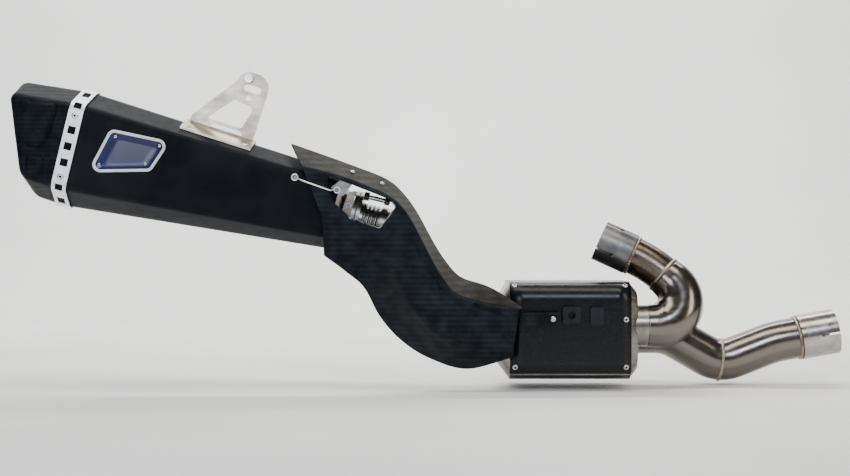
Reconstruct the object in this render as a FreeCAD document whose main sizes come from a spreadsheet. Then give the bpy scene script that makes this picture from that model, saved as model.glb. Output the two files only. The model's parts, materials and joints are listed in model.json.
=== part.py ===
import FreeCAD, Part
import math
import os

import Sketcher

# Racing exhaust system for a motorcycle with two cylinders, in millimetres.
# Origin: centre of the front inlet's mouth. +X forward, +Z up, -Y the side seen from outside.
doc = FreeCAD.newDocument("RacingExhaust")
V = FreeCAD.Vector
ORIGIN = FreeCAD.Placement()

DRIVING_DIMENSIONS = {
    "front_pipe_radius": 25.0,
    "front_collar_bore": 25.6,
    "front_collar_outer": 27.2,
    "front_collar_length": 45.0,
    "front_collar_angle": 10.0,
    "upper_pipe_radius": 22.5,
    "upper_collar_bore": 23.1,
    "upper_collar_outer": 24.7,
    "upper_collar_length": 41.0,
    "upper_bend_radius": 32.0,
    "upper_bend_swell": 27.5,
    "upper_bend_neck": 24.5,
    "pipe_wall": 1.2,
    "slit_width": 2.4,
    "slit_length": 20.0,
    "slit_end_radius": 2.4,
    "bead_radius": 2.2,
    "box_length": 141.0,
    "box_height": 114.0,
    "box_depth": 120.0,
    "box_corner": 22.0,
    "sheet_wall": 1.2,
    "box_rear_x": -401.0,
    "box_centre_y": -30.0,
    "box_centre_z": 5.0,
    "link_radius": 22.5,
    "silencer_x": -908.5,
    "silencer_y": -60.0,
    "silencer_z": 218.5,
    "silencer_pitch": 13.5,
    "sleeve_length": 312.0,
    "sleeve_half_height": 71.0,
    "sleeve_half_side": 48.0,
    "sleeve_half_depth": 52.0,
    "sleeve_end_scale": 0.663,
    "sleeve_wall": 1.2,
    "core_radius": 25.0,
    "strap_width": 17.0,
    "strap_thickness": 1.4,
    "rivet_radius": 2.9,
    "cap_length": 96.0,
    "cap_slant": 20.9,
    "inlet_offset": -5.0,
    "flange_radius": 34.0,
    "flange_thickness": 4.0,
    "bellows_radius": 22.5,
    "bellows_length": 19.0,
    "hanger_thickness": 4.0,
    "hanger_head_radius": 19.0,
    "hanger_slot_width": 8.4,
    "hanger_hole_radius": 3.3,
    "shield_wall": 2.0,
    "shield_front_y": -105.0,
    "shield_back_y": -60.0,
    "lug_hole_radius": 4.25,
}


def write_sheet():
    """The driving dimensions, one aliased cell each."""
    cells = doc.addObject("Spreadsheet::Sheet", "Dims")
    for row, (name, value) in enumerate(DRIVING_DIMENSIONS.items(), start=1):
        cells.set(f"A{row}", name)
        cells.set(f"B{row}", str(value))
        cells.setAlias(f"B{row}", name)
    doc.recompute()
    return cells


sheet = write_sheet()
parts = []


def size(name):
    """A driving dimension's value."""
    return float(sheet.get(name))


def node(item, label, placement=ORIGIN):
    """Registers a finished sub-part under its own label and puts it in its place."""
    item.Label = label
    item.Placement = placement
    parts.append(item)
    return item


def shape_node(label, shape, placement=ORIGIN):
    """A sub-part whose free-form shape is worked out from the sheet."""
    item = doc.addObject("Part::Feature", label)
    item.Shape = shape
    return node(item, label, placement)


def cylinder(radius, height, base=V(0, 0, 0), direction=V(0, 0, 1)):
    return Part.makeCylinder(radius, height, base, direction)


def block(low, high):
    """A block between two corners."""
    return Part.makeBox(high[0] - low[0], high[1] - low[1], high[2] - low[2], V(*low))


def bound_cylinder(name, radius, height, placement=ORIGIN):
    """A Part::Cylinder whose radius and height follow the sheet."""
    item = doc.addObject("Part::Cylinder", name)
    item.setExpression("Radius", radius)
    item.setExpression("Height", height)
    item.Placement = placement
    return item


def boolean(kind, name, base, tool):
    """A Part::Cut, Part::Fuse or Part::Common of two objects."""
    item = doc.addObject(f"Part::{kind}", name)
    item.Base = base
    item.Tool = tool
    return item


def bound_ring(name, outer, inner, height, start=0.0):
    """A plain ring about Z, from start upwards, sizes bound to the sheet."""
    outside = bound_cylinder(f"{name}_outside", outer, height)
    outside.Placement.Base = V(0, 0, start)
    inside = bound_cylinder(f"{name}_inside", inner, f"{height} + 2")
    inside.Placement.Base = V(0, 0, start - 1)
    return boolean("Cut", name, outside, inside)


# Frames that the sub-parts are built in.
def turned(base, axis, angle):
    return FreeCAD.Placement(V(*base), FreeCAD.Rotation(V(*axis), angle))


def along_x(base=(0, 0, 0)):
    """Turns Z to +X, for round pieces that lie along the pipe."""
    return turned(base, (0, 1, 0), 90)


SILENCER = turned((size("silencer_x"), size("silencer_y"), size("silencer_z")),
                  (0, 1, 0), size("silencer_pitch"))
TAPER = (1 - size("sleeve_end_scale")) / size("sleeve_length")
ROOF_PITCH = math.degrees(math.atan(size("sleeve_half_height") * TAPER))
SIDE_YAW = math.degrees(math.atan(size("sleeve_half_depth") * TAPER))
ROOF = SILENCER.multiply(turned((0, 0, size("sleeve_half_height")), (0, 1, 0), ROOF_PITCH))
SIDE = SILENCER.multiply(turned((0, -size("sleeve_half_depth"), 0), (0, 0, 1), SIDE_YAW))
FRONT_MOUTH = turned((0, 0, 0), (0, 1, 0), -size("front_collar_angle"))
UPPER_TILT = 20.0
UPPER_NECK = V(-238, -58, 10)
UPPER = FreeCAD.Placement(UPPER_NECK, FreeCAD.Rotation(V(1, 0, 0), -UPPER_TILT))
UPPER_START_ANGLE = 136.2
UPPER_END_ANGLE = 154.1


def polar(angle, length=1.0):
    """A vector in the XZ plane, its angle measured from +X towards +Z in degrees."""
    return V(length * math.cos(math.radians(angle)), 0, length * math.sin(math.radians(angle)))


def runs(points, radii):
    """Straight runs joined by tangent arcs: one arc for each inner point."""
    curves = []
    start = points[0]
    for corner, after, radius in zip(points[1:-1], points[2:], radii):
        way_in = (corner - start).normalize()
        way_out = (after - corner).normalize()
        turn = way_in.getAngle(way_out)
        reach = radius * math.tan(turn / 2)
        begin = corner - way_in * reach
        end = corner + way_out * reach
        middle = corner + (way_out - way_in).normalize() * radius * (1 / math.cos(turn / 2) - 1)
        if (begin - start).Length > 0.01:
            curves.append(Part.LineSegment(start, begin))
        curves.append(Part.Arc(begin, middle, end))
        start = end
    if (points[-1] - start).Length > 0.01:
        curves.append(Part.LineSegment(start, points[-1]))
    return curves


def route(points, radii):
    """An open path of runs and arcs."""
    return Part.Wire([curve.toShape() for curve in runs(points, radii)])


def loop(points, radii):
    """A closed outline with rounded corners, begun halfway along its last side."""
    seam = (points[0] + points[-1]) * 0.5
    return runs([seam] + points + [seam], radii)


def bent_tube(label, wire, radius, wall, placement=ORIGIN):
    """A tube of constant section: two Part::Sweep solids along one route, one cut from the other."""
    spine = doc.addObject("Part::Feature", f"{label}_route")
    spine.Shape = wire
    first = wire.OrderedEdges[0]
    tangent = first.tangentAt(first.FirstParameter)
    solids = []
    for side, expression in (("outside", radius), ("inside", f"{radius} - {wall}")):
        circle = doc.addObject("Part::Circle", f"{label}_{side}_circle")
        circle.setExpression("Radius", expression)
        turn = FreeCAD.Rotation(V(0, 0, 1), tangent)
        circle.Placement = FreeCAD.Placement(wire.OrderedVertexes[0].Point, turn)
        sweep = doc.addObject("Part::Sweep", f"{label}_{side}")
        sweep.Sections = [circle]
        sweep.Spine = (spine, [f"Edge{i + 1}" for i in range(len(wire.Edges))])
        sweep.Solid = True
        sweep.Frenet = False
        solids.append(sweep)
    return node(boolean("Cut", label, *solids), label, placement)


def weld_bead(centre, direction, pipe_radius):
    """A half-round bead that lies on a pipe of the given radius."""
    torus = Part.makeTorus(pipe_radius, size("bead_radius"), centre, direction)
    half = 2 * size("bead_radius")
    core = cylinder(pipe_radius, 2 * half, centre - direction * half, direction)
    return torus.cut(core)


def slit_collar(label, outer, bore, length, slit_angles, placement):
    """A socket with slits at its mouth, so that a clamp can close it on the engine's pipe.

    Built about X with its mouth at X = 0 and its body at -X.
    """
    ring = bound_ring(f"{label}_ring", outer, bore, length)
    ring.Placement = along_x((-size(length.split(".")[1]), 0, 0))
    reach = size("slit_length")
    cutters = []
    for angle in slit_angles:
        slot = Part.makeBox(reach + 1, size("slit_width"), 60, V(-reach, -size("slit_width") / 2, 0))
        round_end = cylinder(size("slit_end_radius"), 60, V(-reach, 0, 0))
        cutter = slot.fuse(round_end)
        cutter.rotate(V(0, 0, 0), V(1, 0, 0), angle)
        cutters.append(cutter)
    slits = doc.addObject("Part::Feature", f"{label}_slits")
    slits.Shape = cutters[0].multiFuse(cutters[1:])
    return node(boolean("Cut", label, ring, slits), label, placement)


# Front inlet: rises gently from its mouth, dips to a mitred low point and enters the box level.
FRONT_ENTRY = V(-250, 0, -2)
FRONT_KNEE = V(-205, 0, -2)
FRONT_LOW = V(-141, 0, -39)
FRONT_LOW_RADIUS = 40.0


def front_inlet():
    """Slit collar and the two bent sections behind it."""
    slit_collar("front_inlet_collar", "Dims.front_collar_outer", "Dims.front_collar_bore",
                "Dims.front_collar_length", (0, 90, 180, 270), FRONT_MOUTH)
    rise = size("front_collar_angle")
    collar_end = polar(rise, -size("front_collar_length"))
    bend = polar(rise, -76)
    way_in = (FRONT_LOW - FRONT_KNEE).normalize()
    way_out = (bend - FRONT_LOW).normalize()
    half_turn = way_in.getAngle(way_out) / 2
    reach = FRONT_LOW_RADIUS * math.tan(half_turn)
    short = FRONT_LOW_RADIUS * math.tan(half_turn / 2)
    corner_in = FRONT_LOW - way_in * (reach - short)
    corner_out = FRONT_LOW + way_out * (reach - short)
    seam = (corner_in + corner_out) * 0.5
    rear = route([FRONT_ENTRY, FRONT_KNEE, corner_in, seam], [55, FRONT_LOW_RADIUS])
    fore = route([seam, corner_out, bend, collar_end], [FRONT_LOW_RADIUS, 120])
    bent_tube("front_inlet_rear_pipe", rear, "Dims.front_pipe_radius", "Dims.pipe_wall")
    bent_tube("front_inlet_fore_pipe", fore, "Dims.front_pipe_radius", "Dims.pipe_wall")
    radius = size("front_pipe_radius")
    seam_way = (corner_out - corner_in).normalize()
    seam_bead = weld_bead(seam, seam_way, radius)
    doc.recompute()
    for section in ("rear", "fore"):
        seam_bead = seam_bead.cut(doc.getObject(f"front_inlet_{section}_pipe_outside").Shape)
    collar_bead = weld_bead(collar_end - polar(rise, size("bead_radius")), polar(rise), radius)
    shape_node("front_weld_beads", Part.makeCompound([seam_bead, collar_bead]))


def upper_points():
    """Places along the upper inlet, in its own tilted plane."""
    radius = size("upper_bend_radius")
    centre = V(10, 0, radius)
    bend_end = centre + polar(UPPER_START_ANGLE - 90, radius)
    weld = bend_end + polar(UPPER_START_ANGLE, 10)
    corner = weld + polar(UPPER_START_ANGLE, 24)
    collar_base = corner + polar(UPPER_END_ANGLE, 24)
    mouth = collar_base + polar(UPPER_END_ANGLE, size("upper_collar_length"))
    return centre, weld, corner, collar_base, mouth


def upper_bend(centre, weld):
    """Pressed U-bend: circles that swell from the neck to the middle and shrink to the upper weld."""
    neck = size("upper_bend_neck")
    swell = size("upper_bend_swell")
    end = size("upper_pipe_radius") + 1
    stations = [(V(0, 0, 0), 0, neck), (V(10, 0, 0), 0, neck + 0.8)]
    steps = 6
    for step in range(1, steps + 1):
        share = step / steps
        angle = UPPER_START_ANGLE * share
        bulge = math.sin(math.pi * min(share * 0.5 + 0.3, 1))
        radius = neck + (swell - neck) * bulge - (neck - end) * share * 1.4
        stations.append((centre + polar(angle - 90, size("upper_bend_radius")), angle, radius))
    stations.append((weld, UPPER_START_ANGLE, end))
    walls = []
    for trim in (0, size("pipe_wall")):
        rings = [Part.Wire(Part.makeCircle(radius - trim, place, polar(angle)))
                 for place, angle, radius in stations]
        walls.append(Part.makeLoft(rings, True, False))
    shape_node("upper_inlet_bend", walls[0].cut(walls[1]), UPPER)


def upper_inlet():
    """U-bend, short curved pipe and slit collar of the upper inlet."""
    centre, weld, corner, collar_base, mouth = upper_points()
    upper_bend(centre, weld)
    bent_tube("upper_inlet_pipe", route([weld, corner, collar_base], [150]),
              "Dims.upper_pipe_radius", "Dims.pipe_wall", UPPER)
    mouth_turn = FreeCAD.Placement(mouth, FreeCAD.Rotation(V(0, 1, 0), -UPPER_END_ANGLE))
    slit_collar("upper_inlet_collar", "Dims.upper_collar_outer", "Dims.upper_collar_bore",
                "Dims.upper_collar_length", (45, 135, 225, 315), UPPER.multiply(mouth_turn))
    bead = size("bead_radius")
    radius = size("upper_pipe_radius")
    beads = [weld_bead(weld + polar(UPPER_START_ANGLE, bead), polar(UPPER_START_ANGLE), radius),
             weld_bead(collar_base - polar(UPPER_END_ANGLE, bead), polar(UPPER_END_ANGLE), radius)]
    shape_node("upper_weld_beads", Part.makeCompound(beads), UPPER)


def rounded_wire(half_y, half_z, corner, x, centre=(0, 0)):
    """A rounded rectangle across X: eight edges, corners as arcs."""
    mid_y, mid_z = centre
    slack = corner * (1 - math.sqrt(0.5))
    edges = []
    corners = [(1, 1), (-1, 1), (-1, -1), (1, -1)]
    for index, (side_y, side_z) in enumerate(corners):
        flat_y = V(x, mid_y + side_y * half_y, mid_z + side_z * (half_z - corner))
        flat_z = V(x, mid_y + side_y * (half_y - corner), mid_z + side_z * half_z)
        knee = V(x, mid_y + side_y * (half_y - slack), mid_z + side_z * (half_z - slack))
        begin, end = (flat_y, flat_z) if index % 2 == 0 else (flat_z, flat_y)
        if edges:
            edges.append(Part.LineSegment(edges[-1].Vertexes[-1].Point, begin).toShape())
        edges.append(Part.Arc(begin, knee, end).toShape())
    edges.append(Part.LineSegment(edges[-1].Vertexes[-1].Point, edges[0].Vertexes[0].Point).toShape())
    return Part.Wire(edges)


BOX_CENTRE = (size("box_centre_y"), size("box_centre_z"))
BOX_REAR = size("box_rear_x")
BOX_FRONT = BOX_REAR + size("box_length")
OUTLET = (size("silencer_y"), 2.0)


def box_section(x, inset, shrink=0.0):
    """The box's cross-section at x, inset by a wall and shrunk towards its middle."""
    trim = inset + shrink
    return rounded_wire(size("box_depth") / 2 - trim, size("box_height") / 2 - trim,
                        size("box_corner") - inset, x, BOX_CENTRE)


def box_body():
    """Sleeve, two dished end caps, a baffle and the perforated outlet tube."""
    wall = size("sheet_wall")
    outer = Part.Face(box_section(BOX_REAR, 0)).extrude(V(size("box_length"), 0, 0))
    inner = Part.Face(box_section(BOX_REAR, wall)).extrude(V(size("box_length"), 0, 0))
    shape_node("box_sleeve", outer.cut(inner))

    dish = 9
    lip = 7
    front_end = BOX_FRONT + dish
    shells = []
    for inset in (0, wall):
        skirt = Part.Face(box_section(BOX_FRONT - lip, wall + inset)).extrude(V(lip, 0, 0))
        dome = Part.makeLoft([box_section(BOX_FRONT, wall + inset),
                              box_section(front_end - inset, wall + inset, dish)], True, True)
        shells.append(skirt.fuse(dome))
    front = shells[0].cut(shells[1])
    necks = [(UPPER_NECK.y, UPPER_NECK.z, size("upper_bend_neck"), UPPER_NECK.x),
             (FRONT_ENTRY.y, FRONT_ENTRY.z, size("front_pipe_radius"), FRONT_ENTRY.x)]
    for y, z, radius, end in necks:
        start = BOX_FRONT - 12
        tube = cylinder(radius, end - start, V(start, y, z), V(1, 0, 0))
        bore = cylinder(radius - wall, end - start + 2, V(start - 1, y, z), V(1, 0, 0))
        front = front.fuse(tube).cut(bore)
    shape_node("box_front_cap", front)

    cone_end = BOX_REAR - 24
    radius = size("link_radius") + 0.5
    shells = []
    for inset in (0, wall):
        skirt = Part.Face(box_section(BOX_REAR, wall + inset)).extrude(V(lip, 0, 0))
        throat = rounded_wire(radius - inset, radius - inset, radius - inset - 0.5, cone_end, OUTLET)
        cone = Part.makeLoft([box_section(BOX_REAR, wall + inset), throat], True, True)
        shells.append(skirt.fuse(cone))
    shape_node("box_rear_cap", shells[0].cut(shells[1]))

    baffle_x = BOX_REAR + 62
    baffle = Part.Face(box_section(baffle_x, wall)).extrude(V(2, 0, 0))
    centre_y, centre_z = BOX_CENTRE
    ports = [(centre_y + 34, centre_z + 28), (centre_y + 34, centre_z - 28), (centre_y + 2, centre_z + 38)]
    for y, z in ports:
        baffle = baffle.cut(cylinder(10, 6, V(baffle_x - 2, y, z), V(1, 0, 0)))
    core_radius = size("link_radius") - 2
    baffle = baffle.cut(cylinder(core_radius, 6, V(baffle_x - 2, *OUTLET), V(1, 0, 0)))
    shape_node("box_baffle", baffle)
    core_start = BOX_REAR + lip + 2
    core = cylinder(core_radius, 62, V(core_start, *OUTLET), V(1, 0, 0))
    core = core.cut(cylinder(core_radius - wall, 64, V(core_start - 1, *OUTLET), V(1, 0, 0)))
    shape_node("box_perforated_tube", core.cut(perforations(4, 6, 10, 2.5, 30).translated(
        V(core_start + 6, *OUTLET))))


def perforations(rows, around, pitch, radius, reach):
    """Drills across a tube about X: rows along it, each turned half a step from the last."""
    drills = []
    for row in range(rows):
        for step in range(around):
            drill = cylinder(radius, 2 * reach, V(row * pitch, 0, -reach))
            angle = 180 * (step + 0.5 * (row % 2)) / around
            drill.rotate(V(0, 0, 0), V(1, 0, 0), angle)
            drills.append(drill)
    return Part.makeCompound(drills)


def box_rivet(x, lean, side):
    """A domed blind rivet on the box's outer or inner side, at an angle round one of its long corners."""
    corner = size("box_corner")
    flat = size("box_height") / 2 - corner
    turn = math.radians(lean)
    outward = V(0, side * math.cos(turn), math.sin(turn))
    across = side * (size("box_depth") / 2 - corner)
    middle = V(x, BOX_CENTRE[0] + across, BOX_CENTRE[1] + math.copysign(flat, lean))
    return dome(middle + outward * corner, outward, 3.3, 1.4)


def box_fittings():
    """Rivets round both ends, the drilled lug, the stop block and the shield's tongue."""
    rivets = []
    side_skin = size("box_depth") / 2
    for x in (BOX_REAR + 6, BOX_FRONT - 6):
        for side in (-1, 1):
            rivets += [box_rivet(x, 54.5, side), box_rivet(x, -17.2, side)]
            level = V(x, BOX_CENTRE[0] + side * side_skin, 18.7)
            rivets.append(dome(level, V(0, side, 0), 3.3, 1.4))
    shape_node("box_rivets", Part.makeCompound(rivets))
    skin = BOX_CENTRE[0] - size("box_depth") / 2
    facing = (1, 0, 0)
    plate("mounting_lug", [oblong(21, 20)], "8", turned((-330, skin, 24), facing, 90),
          holes=[(0, 0, "lug_hole_radius")])
    plate("stop_block", [oblong(15, 21)], "7", turned((-300.5, skin, 23), facing, 90))
    plate("shield_tongue", [oblong(46, 15)], "4", turned((-366, skin - 11.5, 20), facing, 90))
    shape_node("tongue_screw", dome(V(-352, skin - 15.5, 20), V(0, -1, 0), 3.4, 1.8))


def plate(label, outlines, thickness, placement, holes=()):
    """A flat plate: a PartDesign body with one sketch of rounded outlines and round holes, padded.

    The first outline is the edge and the others are windows. A hole is its x, y and radius cell.
    """
    body = doc.addObject("PartDesign::Body", f"{label}_body")
    sketch = body.newObject("Sketcher::SketchObject", f"{label}_outline")
    plane = [item for item in body.Origin.OriginFeatures if item.Role == "XY_Plane"][0]
    sketch.AttachmentSupport = [(plane, "")]
    sketch.MapMode = "FlatFace"
    for points, radii in outlines:
        for curve in loop([V(x, y, 0) for x, y in points], radii):
            sketch.addGeometry(curve, False)
    for x, y, cell in holes:
        ring = sketch.addGeometry(Part.Circle(V(x, y, 0), V(0, 0, 1), size(cell)), False)
        radius = sketch.addConstraint(Sketcher.Constraint("Radius", ring, size(cell)))
        sketch.setExpression(f"Constraints[{radius}]", f"Dims.{cell}")
    pad = body.newObject("PartDesign::Pad", f"{label}_pad")
    pad.Profile = sketch
    pad.setExpression("Length", thickness)
    return node(body, label, placement)


def oblong(width, height, corner=3.0):
    """A rounded rectangle about the origin."""
    x = width / 2
    y = height / 2
    return [(x, y), (-x, y), (-x, -y), (x, -y)], [corner] * 4


# Link pipe: from the box's outlet back and up to the bellows, in the silencer's plane.
BELLOWS_START = 345.5
INLET = (0, size("inlet_offset"))


def link_pipe():
    """The bent pipe hidden by the heat shield."""
    top = SILENCER.multVec(V(BELLOWS_START + size("bellows_length") + 0.7, *INLET))
    forward = SILENCER.Rotation.multVec(V(1, 0, 0))
    y = size("silencer_y")
    outlet = V(BOX_REAR - 24, y, OUTLET[1])
    level = outlet - V(15, 0, 0)
    lower = V(-478, y, 14)
    upper = top + forward * 24
    bend = 42
    bent_tube("link_pipe", route([outlet, level, lower, upper, top], [bend, bend, bend]),
              "Dims.link_radius", "Dims.pipe_wall")


def hex_wire(x, half_depth, half_side, half_height, centre_z=0.0, rounding=12.0, peak=25.0):
    """The silencer's section across X: upright sides and a low peak above and below."""
    corners = [V(x, -half_depth, centre_z - half_side), V(x, -half_depth, centre_z + half_side),
               V(x, 0, centre_z + half_height), V(x, half_depth, centre_z + half_side),
               V(x, half_depth, centre_z - half_side), V(x, 0, centre_z - half_height)]
    radii = [rounding, rounding, peak, rounding, rounding, peak]
    return Part.Wire([curve.toShape() for curve in loop(corners, radii)])


def sleeve_section(x, scale, inset):
    """The section at one scale, its walls moved inwards by inset."""
    slope = (size("sleeve_half_height") - size("sleeve_half_side")) / size("sleeve_half_depth")
    half_depth = size("sleeve_half_depth") * scale - inset
    half_height = size("sleeve_half_height") * scale - inset * math.hypot(1, slope)
    half_side = half_height - slope * half_depth
    return hex_wire(x, half_depth, half_side, half_height, 0.0, 12 * scale - inset, 25 * scale - inset)


def sleeve_loft(start, end, inset):
    """A solid that follows the sleeve between two stations."""
    return Part.makeLoft([sleeve_section(x, 1 - TAPER * x, inset) for x in (start, end)], True, True)


CAP_TAPER = 0.0012
CAP_TOP = V(-83, 0, 46)


def cap_solid(inset, rear_inset):
    """The end cap's outer or inner form, cut by the slanted rear plane."""
    far = -130
    form = Part.makeLoft([sleeve_section(0, 1, inset),
                          sleeve_section(far, 1 + CAP_TAPER * far, inset)], True, True)
    knife = block((-200, -100, -200), (0, 100, 200))
    knife.Placement = turned((CAP_TOP.x + rear_inset, 0, CAP_TOP.z), (0, 1, 0), -size("cap_slant"))
    return form.cut(knife)


def end_cap():
    """Slanted end cap, the outlet tube through it and the removable noise insert."""
    outer = cap_solid(0, 0)
    rim = [edge for edge in outer.Edges
           if edge.BoundBox.XMax < CAP_TOP.x + 44 and edge.BoundBox.XLength < edge.BoundBox.DiagonalLength * 0.5]
    outer = outer.makeFillet(7, rim)
    cap = outer.cut(cap_solid(2.2, 2.6))
    port_z = -5
    port_radius = 29.0
    cap = cap.cut(cylinder(port_radius + 0.3, 80, V(-110, 0, port_z), V(1, 0, 0)))
    shape_node("end_cap", cap, SILENCER)
    tube = cylinder(port_radius, 70, V(-110, 0, port_z), V(1, 0, 0))
    tube = tube.cut(cylinder(port_radius - 1.5, 72, V(-111, 0, port_z), V(1, 0, 0)))
    knife = block((-200, -100, -200), (0, 100, 200))
    knife.Placement = turned((CAP_TOP.x - 2.5, 0, CAP_TOP.z), (0, 1, 0), -size("cap_slant"))
    shape_node("outlet_tube", tube.cut(knife), SILENCER)
    insert = bound_ring("insert_ring", "27.3", "14", "3", -51)
    cone = bound_ring("insert_tube", "14", "12.8", "70", -51)
    insert_body = boolean("Fuse", "noise_insert", insert, cone)
    node(insert_body, "noise_insert", SILENCER.multiply(along_x((0, 0, port_z))))


def silencer_shell():
    """Tapered sleeve, inlet cap, glass packing and perforated core."""
    length = size("sleeve_length")
    wall = size("sleeve_wall")
    shape_node("silencer_sleeve", sleeve_loft(0, length, 0).cut(sleeve_loft(0, length, wall)), SILENCER)
    packing = sleeve_loft(4, length - 4, wall + 0.3)
    bore = cylinder(size("core_radius") + 0.3, length, V(0, 0, 0), V(1, 0, 0))
    shape_node("glass_packing", packing.cut(bore), SILENCER)
    start = -38
    core = cylinder(size("core_radius"), length - start + 1, V(start, 0, 0), V(1, 0, 0))
    core_bore = size("core_radius") - wall
    core = core.cut(cylinder(core_bore, length - start + 3, V(start - 1, 0, 0), V(1, 0, 0)))
    shape_node("perforated_core", core.cut(perforations(9, 6, 30, 3, 30).translated(V(20, 0, 0))), SILENCER)
    shells = []
    throat_end = length + 15
    for inset in (0, wall):
        radius = size("link_radius") + 0.5 - inset
        throat = hex_wire(throat_end, radius, radius * math.tan(math.radians(30)),
                          radius / math.cos(math.radians(30)), size("inlet_offset"), radius - 1, radius - 1)
        scale = 1 - TAPER * length
        shells.append(Part.makeLoft([sleeve_section(length, scale, inset), throat], True, True))
    cap = shells[0].cut(shells[1])
    pipe = cylinder(size("link_radius"), 332 - length - 2, V(length + 2, *INLET), V(1, 0, 0))
    pipe_bore = cylinder(size("link_radius") - wall, 40, V(length - 2, *INLET), V(1, 0, 0))
    shape_node("silencer_inlet_cap", cap.fuse(pipe).cut(pipe_bore), SILENCER)


def outlet_strap():
    """Pierced band round the joint of sleeve and end cap, with its rivets."""
    half = size("strap_width") / 2
    outer = sleeve_section(-half, 1, -0.6 - size("strap_thickness"))
    inner = sleeve_section(-half, 1, -0.6)
    run = V(size("strap_width"), 0, 0)
    band = Part.Face(outer).extrude(run).cut(Part.Face(inner).extrude(run))
    side = size("sleeve_half_depth")
    roof = math.degrees(math.atan2(size("sleeve_half_height") - size("sleeve_half_side"), side))
    lean = 90 - roof
    short, long = 4.4, 8.0
    places = [(side, 19, 0, short), (side, 0, 0, short), (side, -19, 0, short),
              (49, 47, lean / 2, short), (22, 62, lean, long),
              (49, -47, -lean / 2, short), (22, -62, -lean, long)]
    for y, z, tilt, reach in places:
        for hand in (-1, 1):
            window = block((-4.5, -6, -reach), (4.5, 6, reach))
            window.rotate(V(0, 0, 0), V(1, 0, 0), hand * tilt)
            band = band.cut(window.translated(V(0, hand * y, z)))
    shape_node("outlet_strap", band, SILENCER)
    heads = []
    skin = side + 0.6 + size("strap_thickness")
    for hand in (-1, 1):
        for z in (-36, 36):
            heads.append(dome(V(0, hand * skin, z), V(0, hand, 0)))
    shape_node("strap_rivets", Part.makeCompound(heads), SILENCER)


def dome(base, outward, radius=None, height=1.6):
    """A rivet head: the cap of a sphere that stands on a surface."""
    radius = radius or size("rivet_radius")
    ball = (radius ** 2 + height ** 2) / (2 * height)
    sphere = Part.makeSphere(ball, base - outward * (ball - height))
    return sphere.common(cylinder(radius + 1, height + 1, base, outward))


def badge():
    """A plain plate on the sleeve's outer side, held by four rivets."""
    facing = SIDE.multiply(turned((0, -0.3, 0), (1, 0, 0), 90))
    corners = [(112, 33), (42, 31), (28, -24), (98, -6)]
    plate("badge_plate", [(corners, [9, 9, 9, 9])], "1.2", facing)
    heads = [dome(V(x, -1.5, z), V(0, -1, 0), 2.4, 1.2) for x, z in
             ((101, 25), (50, 23.5), (39, -12), (90, 1))]
    shape_node("badge_rivets", Part.makeCompound(heads), SIDE)


FLANGE_START = 332.0
STUD_CIRCLE = 31.0


def flange(start, thickness):
    """A round flange about the pipe with three stud holes."""
    disc = cylinder(size("flange_radius"), thickness, V(start, *INLET), V(1, 0, 0))
    disc = disc.cut(cylinder(size("link_radius") - size("pipe_wall"), 20, V(start - 8, *INLET), V(1, 0, 0)))
    for y, z in stud_places():
        disc = disc.cut(cylinder(3.3, 20, V(start - 8, y, z), V(1, 0, 0)))
    return disc


def stud_places():
    """The three studs: one on top towards the outside, two below."""
    return [(INLET[0] - STUD_CIRCLE * math.sin(math.radians(angle)),
             INLET[1] + STUD_CIRCLE * math.cos(math.radians(angle))) for angle in (15, 135, 255)]


def hex_nut(x, y, z, across=10.0, height=6.0, bore=3.0):
    """A hexagon nut about X."""
    corner = across / math.sqrt(3)
    points = [V(x, y + corner * math.cos(math.radians(60 * i)), z + corner * math.sin(math.radians(60 * i)))
              for i in range(7)]
    prism = Part.Face(Part.makePolygon(points)).extrude(V(height, 0, 0))
    return prism.cut(cylinder(bore, height + 2, V(x - 1, y, z), V(1, 0, 0)))


def flange_joint():
    """Flange pair, gasket, one long tie stud and two short ones, and their nuts."""
    thickness = size("flange_thickness")
    gasket_start = FLANGE_START + thickness
    gasket = 1.5
    front_start = gasket_start + gasket
    shape_node("silencer_flange", flange(FLANGE_START, thickness), SILENCER)
    shape_node("flange_gasket", flange(gasket_start, gasket), SILENCER)
    collar_length = BELLOWS_START - 0.7 - front_start
    collar = cylinder(size("link_radius"), collar_length, V(front_start, *INLET), V(1, 0, 0))
    bore = cylinder(size("link_radius") - size("pipe_wall"), 20, V(front_start - 5, *INLET), V(1, 0, 0))
    shape_node("bellows_flange", flange(front_start, thickness).fuse(collar).cut(bore), SILENCER)
    front_face = front_start + thickness
    tie, *short = stud_places()
    shape_node("tie_stud", cylinder(3, 45, V(FLANGE_START - 4, *tie), V(1, 0, 0)), SILENCER)
    tie_nuts = [hex_nut(front_face, *tie), hex_nut(FLANGE_START + 34, *tie)]
    shape_node("tie_nuts", Part.makeCompound(tie_nuts), SILENCER)
    bolts = [cylinder(3, 22, V(FLANGE_START - 4, *place), V(1, 0, 0)) for place in short]
    shape_node("flange_studs", Part.makeCompound(bolts), SILENCER)
    flange_nuts = [hex_nut(front_face, *place, height=5) for place in short]
    shape_node("flange_nuts", Part.makeCompound(flange_nuts), SILENCER)


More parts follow.
